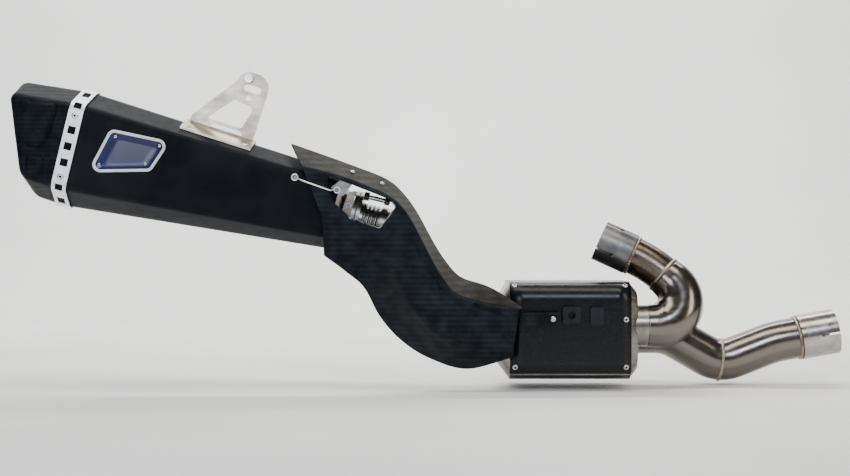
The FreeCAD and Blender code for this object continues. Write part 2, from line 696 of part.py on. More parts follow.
def bellows():
    """Corrugated tube: half circles, alternately out and in, turned about the pipe's axis."""
    bends = 8
    wall = 0.6
    start = V(BELLOWS_START, *INLET)
    pitch = size("bellows_length") / bends
    middle = size("bellows_radius") - (pitch + wall) / 2
    lines = []
    for side in (1, -1):
        curves = []
        for index in range(bends):
            outward = 1 if index % 2 == 0 else -1
            radius = pitch / 2 + outward * side * wall / 2
            centre = start + V(pitch * (index + 0.5), 0, middle)
            ends = [centre - V(radius, 0, 0), centre + V(radius, 0, 0)]
            curves.append(Part.Arc(ends[0], centre + V(0, 0, outward * radius), ends[1]).toShape())
        lines.append(curves)
    caps = []
    for end in (0, -1):
        corners = [curves[end].Vertexes[end].Point for curves in lines]
        caps.append(Part.makeLine(*corners))
    profile = Part.Face(Part.Wire(Part.__sortEdges__(lines[0] + lines[1] + caps)))
    tube = profile.revolve(start, V(1, 0, 0), 360)
    if tube.Volume < 0:
        tube.reverse()
    shape_node("bellows", tube, SILENCER)


def facing_out(x, y, z):
    """A placement in the silencer's frame whose sketch faces the outer side."""
    return SILENCER.multiply(turned((x, y, z), (1, 0, 0), 90))


def window_fittings():
    """Flange ear, its grommet, the folded tab with its rivet, and the retaining wire with its screw."""
    ear = [(331.9, 28), (324, 25), (321, 2), (326, -2), (331.9, -3)]
    ear_y = -31
    plate("flange_ear", [(ear, [1, 3, 3, 2, 1])], "2", facing_out(0, ear_y, 0))
    grommet = bound_ring("grommet_ring", "3.6", "2.1", "1.4")
    node(grommet, "ear_grommet", facing_out(327.5, ear_y - 2.1, 9))
    tab = [(302.3, 24), (313.4, 37.7), (326.4, 34.7), (318.3, 17.3)]
    tab_y = -37.6
    plate("retaining_tab", [(tab, [2, 2, 2, 2])], "1.2", facing_out(0, tab_y, 0))
    shape_node("tab_rivet", cylinder(2, 2.6, V(309, tab_y, 27), V(0, 1, 0)), SILENCER)
    gauge = 0.8
    eyelet = 3.4
    clear_y = -52.5
    path = route([V(262, -39.6, 26), V(270, clear_y, 24.5), V(304, clear_y, 21), V(309, -40.6, 23)], [5, 5])
    start = path.OrderedVertexes[0].Point
    tangent = path.OrderedEdges[0].tangentAt(path.OrderedEdges[0].FirstParameter)
    circle = Part.Wire(Part.makeCircle(gauge, start, tangent))
    wire = path.makePipeShell([circle], True, False)
    for x, y, z in ((259.6, -39.6, 26.4), (310.4, -40.0, 23.6)):
        wire = wire.fuse(Part.makeTorus(eyelet, gauge, V(x, y, z), V(0, 1, 0)))
    shape_node("retaining_wire", wire, SILENCER)
    screw = dome(V(259.6, -38.2, 26.4), V(0, -1, 0), 2.2, 1.6)
    shape_node("wire_screw", screw, SILENCER)


def hanger():
    """Bracket plate with its window, slot and hole, the saddle it stands on, and the screw in its head."""
    half = size("hanger_thickness") / 2
    facing = ROOF.multiply(turned((0, half, 3.2), (1, 0, 0), 90))
    head_x, head_z = 178.0, 54.0
    head = size("hanger_head_radius")
    edge = [(120, 0), (144, 0), (150, 4), (181, 4), (184, 0), (198, 0), (198, 50),
            (head_x + head, head_z + head + 2), (head_x - head + 4, head_z + head + 2), (159, 60), (121, 6)]
    edge_radii = [1, 3, 3, 3, 3, 1, 20, 17, 12, 8, 1]
    opening = [(138, 8), (181, 8), (187, 30), (184, 36), (168, 37), (163, 39)]
    opening_radii = [1.5, 3, 5, 6, 6, 5]
    slot_half = size("hanger_slot_width") / 2
    slot = [(169, 56 + slot_half), (169, 56 - slot_half), (190, 56 - slot_half), (190, 56 + slot_half)]
    plate("hanger_bracket", [(edge, edge_radii), (opening, opening_radii), (slot, [slot_half - 0.1] * 4)],
          "Dims.hanger_thickness", facing, holes=[(178, 44.5, "hanger_hole_radius")])
    slope = (size("sleeve_half_height") - size("sleeve_half_side")) / size("sleeve_half_depth")
    reach = 26
    gauge = 2.5
    lift = 0.4
    ridge = [V(116, -reach, lift - reach * slope), V(116, 0, lift), V(116, reach, lift - reach * slope),
             V(116, reach, lift + gauge - reach * slope), V(116, 0, lift + gauge),
             V(116, -reach, lift + gauge - reach * slope)]
    saddle = Part.Face(Part.makePolygon(ridge + ridge[:1])).extrude(V(86, 0, 0))
    seat = block((120, -half, lift + gauge - 1), (198, half, 3.1))
    shape_node("hanger_saddle", saddle.fuse(seat), ROOF)
    rivets = [dome(V(x, side * 20, lift + gauge - 20 * slope), V(0, side * slope, 1).normalize(), 3.2, 1.4)
              for x in (124, 194) for side in (-1, 1)]
    shape_node("saddle_rivets", Part.makeCompound(rivets), ROOF)
    screw_place = V(172, -half - 4, 69.8)
    screw = cylinder(4.7, 4, screw_place, V(0, 1, 0))
    socket = cylinder(2.4, 2.5, screw_place - V(0, 0.5, 0), V(0, 1, 0))
    shape_node("hanger_screw", screw.cut(socket), ROOF)


# Heat shield: stations from the silencer's end to the box. Each has the upper edge, upper crease,
# lower crease and lower edge, as x and z, and how far the two edges stand back from the flat side.
SHIELD_STATIONS = [
    ((-657, 225), (-641, 196), (-618, 138), (-616, 93), 45, 6),
    ((-600, 205), (-597, 185), (-590, 134), (-592, 75), 45, 14),
    ((-540, 182), (-542, 163), (-565, 120), (-571, 55), 45, 36),
    ((-513, 152), (-519, 141), (-541, 89), (-553, 21), 45, 45),
    ((-483, 97), (-490, 84), (-517, 41), (-528, -7), 45, 45),
    ((-460, 68), (-467, 49), (-491, 9), (-495, -28), 42, 44),
    ((-424, 57), (-431, 38), (-455, -6), (-450, -40), 22, 34),
    ((-387, 42), (-391, 31), (-398, -16), (-397, -24), 9, 7),
]


def shield_points():
    """The four long edges of the shield's outer skin, as lists of points."""
    front = size("shield_front_y")
    rows = [[], [], [], []]
    for upper, upper_crease, lower_crease, lower, upper_back, lower_back in SHIELD_STATIONS:
        depths = (front + upper_back, front, front, front + lower_back)
        for row, (x, z), y in zip(rows, (upper, upper_crease, lower_crease, lower), depths):
            row.append(V(x, y, z))
    return rows


def skin_normal(row, other, index, towards):
    """The normal of the band between two long edges at one station, pointing to its inner side."""
    before = row[max(index - 1, 0)]
    after = row[min(index + 1, len(row) - 1)]
    normal = (after - before).cross(other[index] - row[index]).normalize()
    return normal if normal.dot(towards - row[index]) > 0 else normal * -1


def shield_inner(rows, wall):
    """The same edges moved inwards by the wall, mitred at the creases."""
    inner = [[], [], [], []]
    for index in range(len(rows[0])):
        middle = (rows[0][index] + rows[3][index]) * 0.5 + V(0, 60, 0)
        normals = [skin_normal(rows[band], rows[band + 1], index, middle) for band in range(3)]
        shifts = [normals[0], normals[0] + normals[1], normals[1] + normals[2], normals[2]]
        for side, shift in enumerate(shifts):
            reach = wall if side in (0, 3) else 2 * wall / shift.Length
            inner[side].append(rows[side][index] + shift.normalize() * reach)
    return inner


def interpolated(points):
    curve = Part.BSplineCurve()
    curve.interpolate(points)
    return curve.toShape()


def heat_shield():
    """Open-backed carbon shell of ruled bands between its long edges, with a window in its flat side."""
    outer_rows = shield_points()
    inner_rows = shield_inner(outer_rows, size("shield_wall"))
    around = outer_rows + inner_rows[::-1]
    curves = [interpolated(row) for row in around]
    faces = []
    for index, curve in enumerate(curves):
        faces.append(Part.makeRuledSurface(curve, curves[(index + 1) % len(curves)]))
    for station in (0, -1):
        for index in range(3):
            outer = Part.makeLine(outer_rows[index][station], outer_rows[index + 1][station])
            inner = Part.makeLine(inner_rows[index][station], inner_rows[index + 1][station])
            faces.append(Part.makeRuledSurface(outer, inner))
    shell = Part.makeShell(faces)
    shell.sewShape(0.01)
    solid = Part.makeSolid(Part.Shell(shell.Faces))
    if solid.Volume < 0:
        solid.reverse()
    front = size("shield_front_y")
    window = [(-613, 172), (-611, 187), (-599, 181), (-541, 158),
              (-534, 149), (-552, 125), (-586, 137), (-605, 155)]
    corners = [V(x, front - 5, z) for x, z in window]
    outline = Part.Wire([curve.toShape() for curve in loop(corners, [2, 3, 6, 5, 3, 5, 8, 6])])
    solid = solid.cut(Part.Face(outline).extrude(V(0, 12, 0)))
    shape_node("heat_shield", solid)
    return solid


def shield_fixings(shell):
    """Spacer from the link pipe to the flat side, and the two screws through the upper band."""
    depth = size("shield_front_y") + size("shield_wall")
    shape_node("shield_spacer", cylinder(7, 19, V(-492, depth, 30), V(0, 1, 0)))
    upper, crease = shield_points()[:2]
    heads = []
    for share in (0.25, 0.85):
        edge = upper[1] * (1 - share) + upper[2] * share
        fold = crease[1] * (1 - share) + crease[2] * share
        outward = skin_normal(upper, crease, 1, V(-570, 60, 100)) * -1
        place = (edge + fold) * 0.5
        ray = Part.makeLine(place + outward * 10, place - outward * 10)
        skin = max(ray.common(shell).Vertexes, key=lambda corner: corner.Point.dot(outward)).Point
        heads.append(dome(skin, outward, 3.0, 1.6).cut(shell))
    shape_node("shield_screws", Part.makeCompound(heads))


def build():
    front_inlet()
    upper_inlet()
    box_body()
    box_fittings()
    link_pipe()
    silencer_shell()
    end_cap()
    outlet_strap()
    badge()
    hanger()
    flange_joint()
    bellows()
    window_fittings()
    shield_fixings(heat_shield())


def check_and_export():
    """Stops on any failed object, then writes one file per sub-part."""
    doc.recompute()
    for item in doc.Objects:
        if {"Invalid", "Error"} & set(item.State):
            raise RuntimeError(f"{item.Label}: {item.State}")
    os.makedirs("parts", exist_ok=True)
    for item in parts:
        if item.Shape.isNull() or not item.Shape.isValid():
            raise RuntimeError(f"{item.Label} has no valid shape")
        item.Shape.exportStep(f"parts/{item.Label}.step")


build()
check_and_export()
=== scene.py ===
import json
import math

import bmesh
import bpy
import numpy as np
from bpy.props import FloatProperty, PointerProperty
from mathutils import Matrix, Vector


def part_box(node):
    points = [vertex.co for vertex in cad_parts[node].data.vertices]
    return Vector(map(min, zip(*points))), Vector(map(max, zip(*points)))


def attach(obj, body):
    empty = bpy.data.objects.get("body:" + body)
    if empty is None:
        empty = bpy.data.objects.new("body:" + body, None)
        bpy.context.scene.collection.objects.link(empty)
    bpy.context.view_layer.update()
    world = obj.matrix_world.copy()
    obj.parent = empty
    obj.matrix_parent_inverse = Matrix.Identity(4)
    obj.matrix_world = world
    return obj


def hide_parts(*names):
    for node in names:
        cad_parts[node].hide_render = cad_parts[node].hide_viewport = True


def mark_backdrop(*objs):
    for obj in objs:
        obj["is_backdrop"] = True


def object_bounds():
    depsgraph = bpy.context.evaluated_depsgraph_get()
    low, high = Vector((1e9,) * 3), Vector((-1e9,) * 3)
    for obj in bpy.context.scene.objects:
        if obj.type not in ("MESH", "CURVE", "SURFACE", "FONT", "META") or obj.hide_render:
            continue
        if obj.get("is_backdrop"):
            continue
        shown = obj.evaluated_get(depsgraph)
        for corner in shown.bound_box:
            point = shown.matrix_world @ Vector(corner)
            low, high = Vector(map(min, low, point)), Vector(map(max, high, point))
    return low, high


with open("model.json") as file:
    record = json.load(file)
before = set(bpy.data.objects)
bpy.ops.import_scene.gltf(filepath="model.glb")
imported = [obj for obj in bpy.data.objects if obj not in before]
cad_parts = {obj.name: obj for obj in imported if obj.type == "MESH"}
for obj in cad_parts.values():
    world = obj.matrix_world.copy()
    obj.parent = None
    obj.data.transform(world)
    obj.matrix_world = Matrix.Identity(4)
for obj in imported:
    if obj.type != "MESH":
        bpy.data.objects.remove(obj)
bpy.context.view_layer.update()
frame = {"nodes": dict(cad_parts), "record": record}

bl_info = {
    "name": "Racing exhaust finish",
    "version": (1, 0, 0),
    "blender": (4, 5, 0),
    "location": "3D View > Sidebar > Exhaust",
    "description": "Builds the visible surfaces and finishes of a racing exhaust on its measured frame",
    "category": "Object",
}

MM = 0.001


# ---- Frames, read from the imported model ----

def joint(name):
    return next(item for item in frame["record"]["behaviour"]["joints"] if item["name"] == name)


class Axes:
    """A right-handed frame: local millimetres x, y, z to metres in the model."""

    def __init__(self, origin, forward, up):
        self.forward = np.array(forward, float)
        self.up = np.array(up, float)
        self.side = np.cross(self.up, self.forward)
        self.origin = np.array(origin, float)

    def place(self, points):
        """Local (x, y, z) millimetres as rows of an array to model metres."""
        points = np.asarray(points, float)
        return (self.origin + points[..., 0:1] * MM * self.forward + points[..., 1:2] * MM * self.side
                + points[..., 2:3] * MM * self.up)

    def moved(self, x, y, z, yaw):
        """A frame at a local point, yawed about its up axis."""
        forward = self.forward * math.cos(yaw) + self.side * math.sin(yaw)
        return Axes(self.place([x, y, z]), forward, self.up)


WORLD = Axes((0, 0, 0), (1, 0, 0), (0, 0, 1))
BELLOWS_X = 355.0
INLET_Z = -5.0
FLEX = np.array(joint("bellows_yaw")["pos_m"])
TILT_UP = np.array(joint("bellows_yaw")["axis"])
TILT_FORWARD = np.array([TILT_UP[2], 0, -TILT_UP[0]])
SILENCER = Axes(FLEX - BELLOWS_X * MM * TILT_FORWARD - INLET_Z * MM * TILT_UP, TILT_FORWARD, TILT_UP)


# ---- Meshes from arrays ----

def make_mesh(name, points, faces, heat=None):
    """A smooth mesh object from arrays: points (n, 3) in metres and quads (m, 4)."""
    mesh = bpy.data.meshes.new(name)
    points = np.asarray(points, float).reshape(-1, 3)
    mesh.from_pydata(points.tolist(), [], np.asarray(faces, int).tolist())
    mesh.polygons.foreach_set("use_smooth", np.full(len(mesh.polygons), True))
    if heat is not None:
        layer = mesh.attributes.new("heat", "FLOAT", "POINT")
        layer.data.foreach_set("value", np.asarray(heat, float).ravel())
    mesh.update()
    piece = bpy.data.objects.new(name, mesh)
    bpy.context.scene.collection.objects.link(piece)
    return piece


def grid_faces(rows, columns, close_rows=False, close_columns=False):
    """Quads of a grid, in the order that points out when columns run anticlockwise along the rows."""
    i = np.arange(rows if close_rows else rows - 1)[:, None]
    j = np.arange(columns if close_columns else columns - 1)[None, :]
    below = (i + 1) % rows
    right = (j + 1) % columns
    quads = np.stack([i * columns + j, i * columns + right, below * columns + right, below * columns + j], -1)
    return quads.reshape(-1, 4)


def grid_object(name, grid, close_rows=False, close_columns=False, flip=False, heat=None):
    """An object from a grid of points (rows, columns, 3)."""
    rows, columns = grid.shape[:2]
    faces = grid_faces(rows, columns, close_rows, close_columns)
    if flip:
        faces = faces[:, ::-1]
    return make_mesh(name, grid, faces, heat)


def outward(piece):
    """Joins coincident points of a closed mesh and makes it face outwards."""
    work = bmesh.new()
    work.from_mesh(piece.data)
    bmesh.ops.remove_doubles(work, verts=work.verts, dist=1e-7)
    bmesh.ops.recalc_face_normals(work, faces=work.faces)
    work.to_mesh(piece.data)
    work.free()
    return piece


def shell_object(name, outer, inner, heat=None):
    """A closed wall between two grids that are round in their columns: out along one, back along the other."""
    grid = np.concatenate([outer, inner[::-1]])
    if heat is not None:
        heat = np.concatenate([heat, heat[::-1]])
    return outward(grid_object(name, grid, True, True, heat=heat))


def finish(piece, body, slot, material, *replaced):
    """Body and material of a piece, and the plain nodes that it stands for. The record slot is not used."""
    piece.data.materials.append(material)
    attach(piece, body)
    if replaced:
        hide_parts(*replaced)


# ---- Materials ----

def linear(code):
    """An sRGB hex code as a linear colour."""
    parts = [int(code[i:i + 2], 16) / 255 for i in (0, 2, 4)]
    return tuple(c / 12.92 if c <= 0.04045 else ((c + 0.055) / 1.055) ** 2.4 for c in parts) + (1.0,)


def add(tree, kind, inputs=None, **settings):
    """Adds a node, applies its settings, and sets or links its inputs."""
    item = tree.nodes.new(kind)
    for key, value in settings.items():
        setattr(item, key, value)
    for key, value in (inputs or {}).items():
        if isinstance(value, bpy.types.NodeSocket):
            tree.links.new(value, item.inputs[key])
        else:
            item.inputs[key].default_value = value
    return item


def start_material(name, **sockets):
    """A material with one Principled shader and object coordinates in metres."""
    material = bpy.data.materials.new(name)
    material.use_nodes = True
    tree = material.node_tree
    shader = tree.nodes["Principled BSDF"]
    for key, value in sockets.items():
        shader.inputs[key.replace("_", " ")].default_value = value
    place = add(tree, "ShaderNodeTexCoord").outputs["Object"]
    return material, tree, shader, place


def ramp(tree, factor, stops):
    """A colour ramp with the given (position, hex) stops."""
    item = add(tree, "ShaderNodeValToRGB", {"Fac": factor})
    elements = item.color_ramp.elements
    while len(elements) < len(stops):
        elements.new(0.5)
    for element, (position, code) in zip(elements, stops):
        element.position = position
        element.color = linear(code)
    return item.outputs["Color"]


def noise(tree, place, size_mm, detail=3.0, stretch=(1, 1, 1)):
    """Noise whose blobs are about size_mm across, longer along an axis where its stretch is above 1."""
    scale = tuple(1 / (size_mm * MM * factor) for factor in stretch)
    spread = add(tree, "ShaderNodeMapping", {"Vector": place, "Scale": scale})
    inputs = {"Vector": spread.outputs["Vector"], "Scale": 1.0, "Detail": detail}
    return add(tree, "ShaderNodeTexNoise", inputs).outputs["Fac"]


def maths(tree, operation, *values):
    """A sum, product or other operation on sockets and numbers."""
    return add(tree, "ShaderNodeMath", dict(enumerate(values)), operation=operation).outputs[0]


def vary(tree, factor, low, high, start=0.3, end=0.7):
    """A factor that runs from start to end, stretched between two values."""
    return add(tree, "ShaderNodeMapRange", {"Value": factor, "From Min": start, "From Max": end,
                                             "To Min": low, "To Max": high}).outputs["Result"]


def dent(tree, shader, height, depth_mm, strength=1.0):
    """Bump from a 0 to 1 height."""
    bump = add(tree, "ShaderNodeBump", {"Height": height, "Distance": depth_mm * MM, "Strength": strength})
    tree.links.new(bump.outputs["Normal"], shader.inputs["Normal"])


def worn_metal(name, dark, light, rough, grain_mm, stretch=(1, 1, 1), bump_mm=0.008):
    """Bare metal: two tones in soft patches, and a finer grain that breaks up the gloss and the surface."""
    material, tree, shader, place = start_material(name, Metallic=1.0)
    patches = noise(tree, place, 28, 4)
    tree.links.new(ramp(tree, patches, [(0.34, dark), (0.66, light)]), shader.inputs["Base Color"])
    grain = noise(tree, place, grain_mm, 5, stretch)
    tree.links.new(vary(tree, grain, *rough), shader.inputs["Roughness"])
    dent(tree, shader, grain, bump_mm, 0.5)
    return material


def coated_black(name, dark, light, rough, grain_mm=0.7, coat=0.0, specular=0.22):
    """Sprayed coating over metal: near-black with soft cloudy patches and a fine orange peel."""
    material, tree, shader, place = start_material(name, Metallic=0.0, Coat_Weight=coat, Coat_Roughness=0.3,
                                                   Specular_IOR_Level=specular)
    clouds = noise(tree, place, 60, 3)
    tree.links.new(ramp(tree, clouds, [(0.3, dark), (0.7, light)]), shader.inputs["Base Color"])
    smears = noise(tree, place, 9, 5)
    tree.links.new(vary(tree, smears, *rough), shader.inputs["Roughness"])
    dent(tree, shader, noise(tree, place, grain_mm, 3), 0.012, 0.35)
    return material


def twill(name, under, over, rough, tow_mm, coat=0.0):
    """Carbon cloth, two over and two under, in satin lacquer.

    Object x and z are turned 45 degrees and cut into tows. Where the sum of the two tow numbers, modulo
    four, is under two the warp lies on top, else the weft. Each tow is crowned across its width, and the
    cloth's tone is scaled by that height: painted shade in the dips between and under the tows, and a
    painted highlight on their crowns. Real 2k tows are about 1.5 mm wide and are drawn at 2.2 mm, so that
    they show from a metre away.
    """
    material, tree, shader, place = start_material(name, Metallic=0.0, Coat_Weight=coat, Coat_Roughness=0.22,
                                                   Specular_IOR_Level=0.05)
    turned = add(tree, "ShaderNodeMapping", {"Vector": place, "Rotation": (0, math.radians(45), 0),
                                             "Scale": (1 / (tow_mm * MM),) * 3})
    axes = add(tree, "ShaderNodeSeparateXYZ", {"Vector": turned.outputs["Vector"]}).outputs
    cells = [maths(tree, "FLOOR", axes[key]) for key in ("X", "Z")]
    across = [maths(tree, "FRACT", axes[key]) for key in ("X", "Z")]
    cycle = maths(tree, "FLOORED_MODULO", maths(tree, "ADD", *cells), 4.0)
    on_top = maths(tree, "LESS_THAN", cycle, 1.5)
    crowns = [maths(tree, "SINE", maths(tree, "MULTIPLY", value, math.pi)) for value in across]
    crown = add(tree, "ShaderNodeMix", {"Factor": on_top, "A": crowns[0], "B": crowns[1]}).outputs["Result"]
    fibre = noise(tree, place, 14, 4)
    tones = ramp(tree, fibre, [(0.35, under), (0.7, over)])
    lift = maths(tree, "ADD", maths(tree, "MULTIPLY", on_top, 0.45), crown)
    highest = 1.45
    # The tone is scaled by the weave's height: painted shade in the dips, a painted highlight on the crowns.
    painted_light_gain = vary(tree, lift, 0.35, 1.25, 0.0, highest)
    colour = add(tree, "ShaderNodeVectorMath", {0: tones, "Scale": painted_light_gain}, operation="SCALE").outputs["Vector"]
    tree.links.new(colour, shader.inputs["Base Color"])
    tree.links.new(vary(tree, lift, rough[1], rough[0], 0.0, highest), shader.inputs["Roughness"])
    dent(tree, shader, lift, 0.12, 0.5)
    return material


def tinted_tube(name, stops, rough):
    """Bent stainless tube, scrubbed after welding.

    The attribute heat is 1 at a weld and falls to 0 away from it: straw, bronze, brown and blue lie nearest
    the weld, warm grey steel further off. Fine scratches run all ways.
    """
    material, tree, shader, place = start_material(name, Metallic=1.0)
    heat = add(tree, "ShaderNodeAttribute", attribute_name="heat").outputs["Fac"]
    blotch = noise(tree, place, 22, 4)
    uneven = maths(tree, "ADD", heat, vary(tree, blotch, -0.14, 0.14, 0.0, 1.0))
    tree.links.new(ramp(tree, uneven, stops), shader.inputs["Base Color"])
    scratches = noise(tree, place, 5, 6, (3, 1, 1))
    tree.links.new(vary(tree, scratches, *rough), shader.inputs["Roughness"])
    dent(tree, shader, noise(tree, place, 1.5, 3, (6, 1, 1)), 0.004, 0.3)
    return material


def stirred(name, colours, rough, size_mm, depth_mm, sheen=0.0):
    """A soft or fibrous filling: two tones in clumps with a deep bump."""
    material, tree, shader, place = start_material(name, Metallic=0.0, Sheen_Weight=sheen)
    clumps = noise(tree, place, size_mm, 8)
    tree.links.new(ramp(tree, clumps, [(0.35, colours[0]), (0.65, colours[1])]), shader.inputs["Base Color"])
    tree.links.new(vary(tree, clumps, *rough), shader.inputs["Roughness"])
    dent(tree, shader, clumps, depth_mm, 0.8)
    return material


def make_materials(tow_mm):
    """Every finish, keyed by the record's material slots, with a few extra for details."""
    return {
        # Carbon reads as dark slate cloth with fine diagonal ribs. Its upward-facing top band gets a lighter, browner
        # copy as a painted highlight.
        "carbon_fibre": twill("Twill carbon fibre, satin lacquer", "13171b", "20272d", (0.36, 0.5), tow_mm),
        "carbon_painted_highlight_band": twill("Twill carbon fibre, lighter top band as painted highlight", "201f1c", "34322d", (0.42, 0.55), 2.6),
        "carbon_cap": twill("Twill carbon fibre, matt cap", "0f1317", "1b2128", (0.4, 0.52), 1.8),
        # A much lighter copy for the window's right and bottom edge: a painted highlight.
        "carbon_painted_highlight_lip": twill("Carbon window edge, lighter as painted highlight", "5d6164", "9ea3a5", (0.2, 0.3), tow_mm, 0.6),
        # The box is a deep, slightly wet black.
        "box_black": coated_black("Satin black ceramic coat on the box", "04060a", "0a0d13", (0.24, 0.34), 1.0, 0.1),
        # Tubes are warm grey, glossy, and brown to blue beside a weld. The upper one is darker all over.
        "tinted_pipe": tinted_tube("Heat-darkened stainless tube", [
            (0.0, "5e554d"), (0.35, "665545"), (0.6, "4f3a2c"), (0.8, "332a2a"), (0.95, "56504b")], (0.22, 0.32)),
        # The sleeve is a flat soot black that hardly mirrors the room.
        "black_coated_titanium": coated_black("Satin black ceramic coat on titanium", "0a0e14", "1a1d21",
                                              (0.34, 0.46), 0.8, 0.0, 0.04),
        "stainless_pipe": tinted_tube("Heat-tinted stainless tube", [
            (0.0, "77716b"), (0.25, "807260"), (0.5, "7d5b3c"), (0.68, "432c1f"), (0.8, "3a353d"),
            (0.95, "756f69")], (0.18, 0.27)),
        # Metals run from dull dark collars to near-white strip; the beads are straw with brown gaps.
        "dark_collar_steel": worn_metal("Heat-darkened turned steel", "5a5a5c", "7c7b79", (0.34, 0.46), 4),
        "bright_collar_steel": worn_metal("Satin turned steel", "9c968d", "bfbbb5", (0.2, 0.3), 4, (1, 4, 4)),
        "stainless_sheet": worn_metal("Satin stainless sheet", "7c7872", "9d9993", (0.24, 0.36), 4, (5, 1, 1)),
        "weld_bead": worn_metal("Stacked weld bead", "6b5746", "c9bca9", (0.22, 0.4), 1.1, (1, 1, 1), 0.05),
        "polished_steel": worn_metal("Polished stainless strip", "e6e9ea", "f6f7f7", (0.44, 0.56), 4, (1, 1, 5)),
        "titanium_plate": worn_metal("Bare titanium plate", "a3988c", "d2c9bd", (0.32, 0.46), 3, (4, 1, 1)),
        "zinc_fastener": worn_metal("Bright zinc plate", "9a9c9e", "d9dadb", (0.18, 0.32), 1.2),
        # Paints: a sooty outlet, a blue-black lug, and a glassy badge with a white edge.
        "black_outlet": coated_black("Matt black stove paint", "0b0b0c", "17171a", (0.55, 0.7), 1.2),
        "black_bracket": coated_black("Satin black powder coat", "0c0e13", "1a1f29", (0.36, 0.5), 0.9),
        "enamel_badge": coated_black("Navy enamel", "060f3c", "0a1752", (0.16, 0.26), 1.5, 0.6),
        "white_enamel": coated_black("White enamel", "c9ccd2", "eceef0", (0.24, 0.34), 1.5, 0.3),
        # Soft fillings, seen only from behind or in section, look dry and matt.
        "glass_wool": stirred("Needled glass wool", ("a89a6c", "d6cba0"), (0.8, 0.95), 2.0, 0.6, 0.3),
        "graphite_gasket": stirred("Pressed graphite", ("1b1b1d", "303033"), (0.5, 0.7), 1.2, 0.05),
        "heat_pad": stirred("Ceramic fibre pad", ("4a4a48", "75736e"), (0.8, 0.95), 1.5, 0.3),
    }


FINISHES = {}


def dress_frame():
    """Gives every CAD piece the finish of its slot."""
    for part in frame["record"]["subparts"]:
        piece = frame["nodes"][part["node"]]
        piece.data.materials.clear()
        piece.data.materials.append(FINISHES[part["material_slot"]])


# ---- Outlines, paths and sections ----

def rounded_loop(corners, radii, arc=8, sides=12):
    """A closed outline as points (n, 2): an arc at each corner, then that many points along the next side."""
    corners = np.asarray(corners, float)
    count = len(corners)
    sides = [sides] * count if np.isscalar(sides) else sides
    radii = np.broadcast_to(radii, count)
    arcs = []
    for index, corner in enumerate(corners):
        back = corners[index - 1] - corner
        ahead = corners[(index + 1) % count] - corner
        back, ahead = back / np.linalg.norm(back), ahead / np.linalg.norm(ahead)
        half = math.acos(np.clip(back @ ahead, -1, 1)) / 2
        reach = radii[index] / math.tan(half)
        centre = corner + (back + ahead) / np.linalg.norm(back + ahead) * radii[index] / math.sin(half)
        first = corner + back * reach - centre
        last = corner + ahead * reach - centre
        start = math.atan2(first[1], first[0])
        turn = (math.atan2(last[1], last[0]) - start + math.pi) % (2 * math.pi) - math.pi
        angles = start + turn * np.linspace(0, 1, arc)
        arcs.append(centre + radii[index] * np.stack([np.cos(angles), np.sin(angles)], -1))
    loop = []
    for index, points in enumerate(arcs):
        share = np.linspace(0, 1, sides[index] + 2)[1:-1, None]
        loop += [points, points[-1] * (1 - share) + arcs[(index + 1) % count][0] * share]
    return np.concatenate(loop)


def to_line(points, line):
    """Distance from each 2-D point to a chain of segments."""
    points = np.asarray(points, float)
    best = np.full(points.shape[:-1], np.inf)
    for a, b in zip(np.asarray(line, float)[:-1], np.asarray(line, float)[1:]):
        share = np.clip(((points - a) @ (b - a)) / ((b - a) @ (b - a)), 0, 1)
        best = np.minimum(best, np.linalg.norm(points - a - share[..., None] * (b - a), axis=-1))
    return best


def inside(points, outline):
    """Signed distance to a closed outline: negative inside."""
    outline = np.asarray(outline, float)
    crossings = np.zeros(np.shape(points)[:-1], int)
    x, y = points[..., 0], points[..., 1]
    for a, b in zip(outline, np.roll(outline, -1, 0)):
        spans = (a[1] > y) != (b[1] > y)
        rise = b[1] - a[1] if b[1] != a[1] else 1e-9
        crossings += spans & (x < a[0] + (y - a[1]) * (b[0] - a[0]) / rise)
    away = to_line(points, np.concatenate([outline, outline[:1]]))
    return np.where(crossings % 2 == 1, -away, away)


def smooth(value, low, high):
    """0 below low, 1 above high, and an S-curve between them."""
    share = np.clip((np.asarray(value, float) - low) / (high - low), 0, 1)
    return share * share * (3 - 2 * share)


def along(points, radii, step=1.5):
    """A path of straight runs joined by tangent arcs, sampled about every step mm, as points (n, 3)."""
    points = np.asarray(points, float)
    path = [points[:1]]
    for index, radius in enumerate(radii):
        corner = points[index + 1]
        back = points[index] - corner
        ahead = points[index + 2] - corner
        back, ahead = back / np.linalg.norm(back), ahead / np.linalg.norm(ahead)
        half = math.acos(np.clip(back @ ahead, -1, 1)) / 2
        centre = corner + (back + ahead) / np.linalg.norm(back + ahead) * radius / math.sin(half)
        begin = corner + back * radius / math.tan(half)
        across = (begin - centre) / radius
        forward = -back
        turn = np.linspace(0, math.pi - 2 * half, 24)[:, None]
        path.append(centre + radius * (np.cos(turn) * across + np.sin(turn) * forward))
    path.append(points[-1:])
    path = np.concatenate(path)
    lengths = np.concatenate([[0], np.cumsum(np.linalg.norm(np.diff(path, axis=0), axis=1))])
    keep = np.concatenate([[True], np.diff(lengths) > 1e-6])
    even = np.linspace(0, lengths[-1], max(int(lengths[-1] / step), 2) + 1)
    return np.stack([np.interp(even, lengths[keep], path[keep, axis]) for axis in range(3)], -1)


def rings(path, radii, around):
    """Circles square to a path in the xz plane, as points (n, around, 3)."""
    way = np.gradient(path, axis=0)
    way /= np.linalg.norm(way, axis=1, keepdims=True)
    upright = np.array([0.0, 1, 0])
    across = np.cross(way, upright)
    turn = np.linspace(0, 2 * math.pi, around, endpoint=False)
    spokes = np.cos(turn)[None, :, None] * across[:, None] + np.sin(turn)[None, :, None] * upright
    return path[:, None] + spokes * np.broadcast_to(radii, (len(path), around))[..., None]


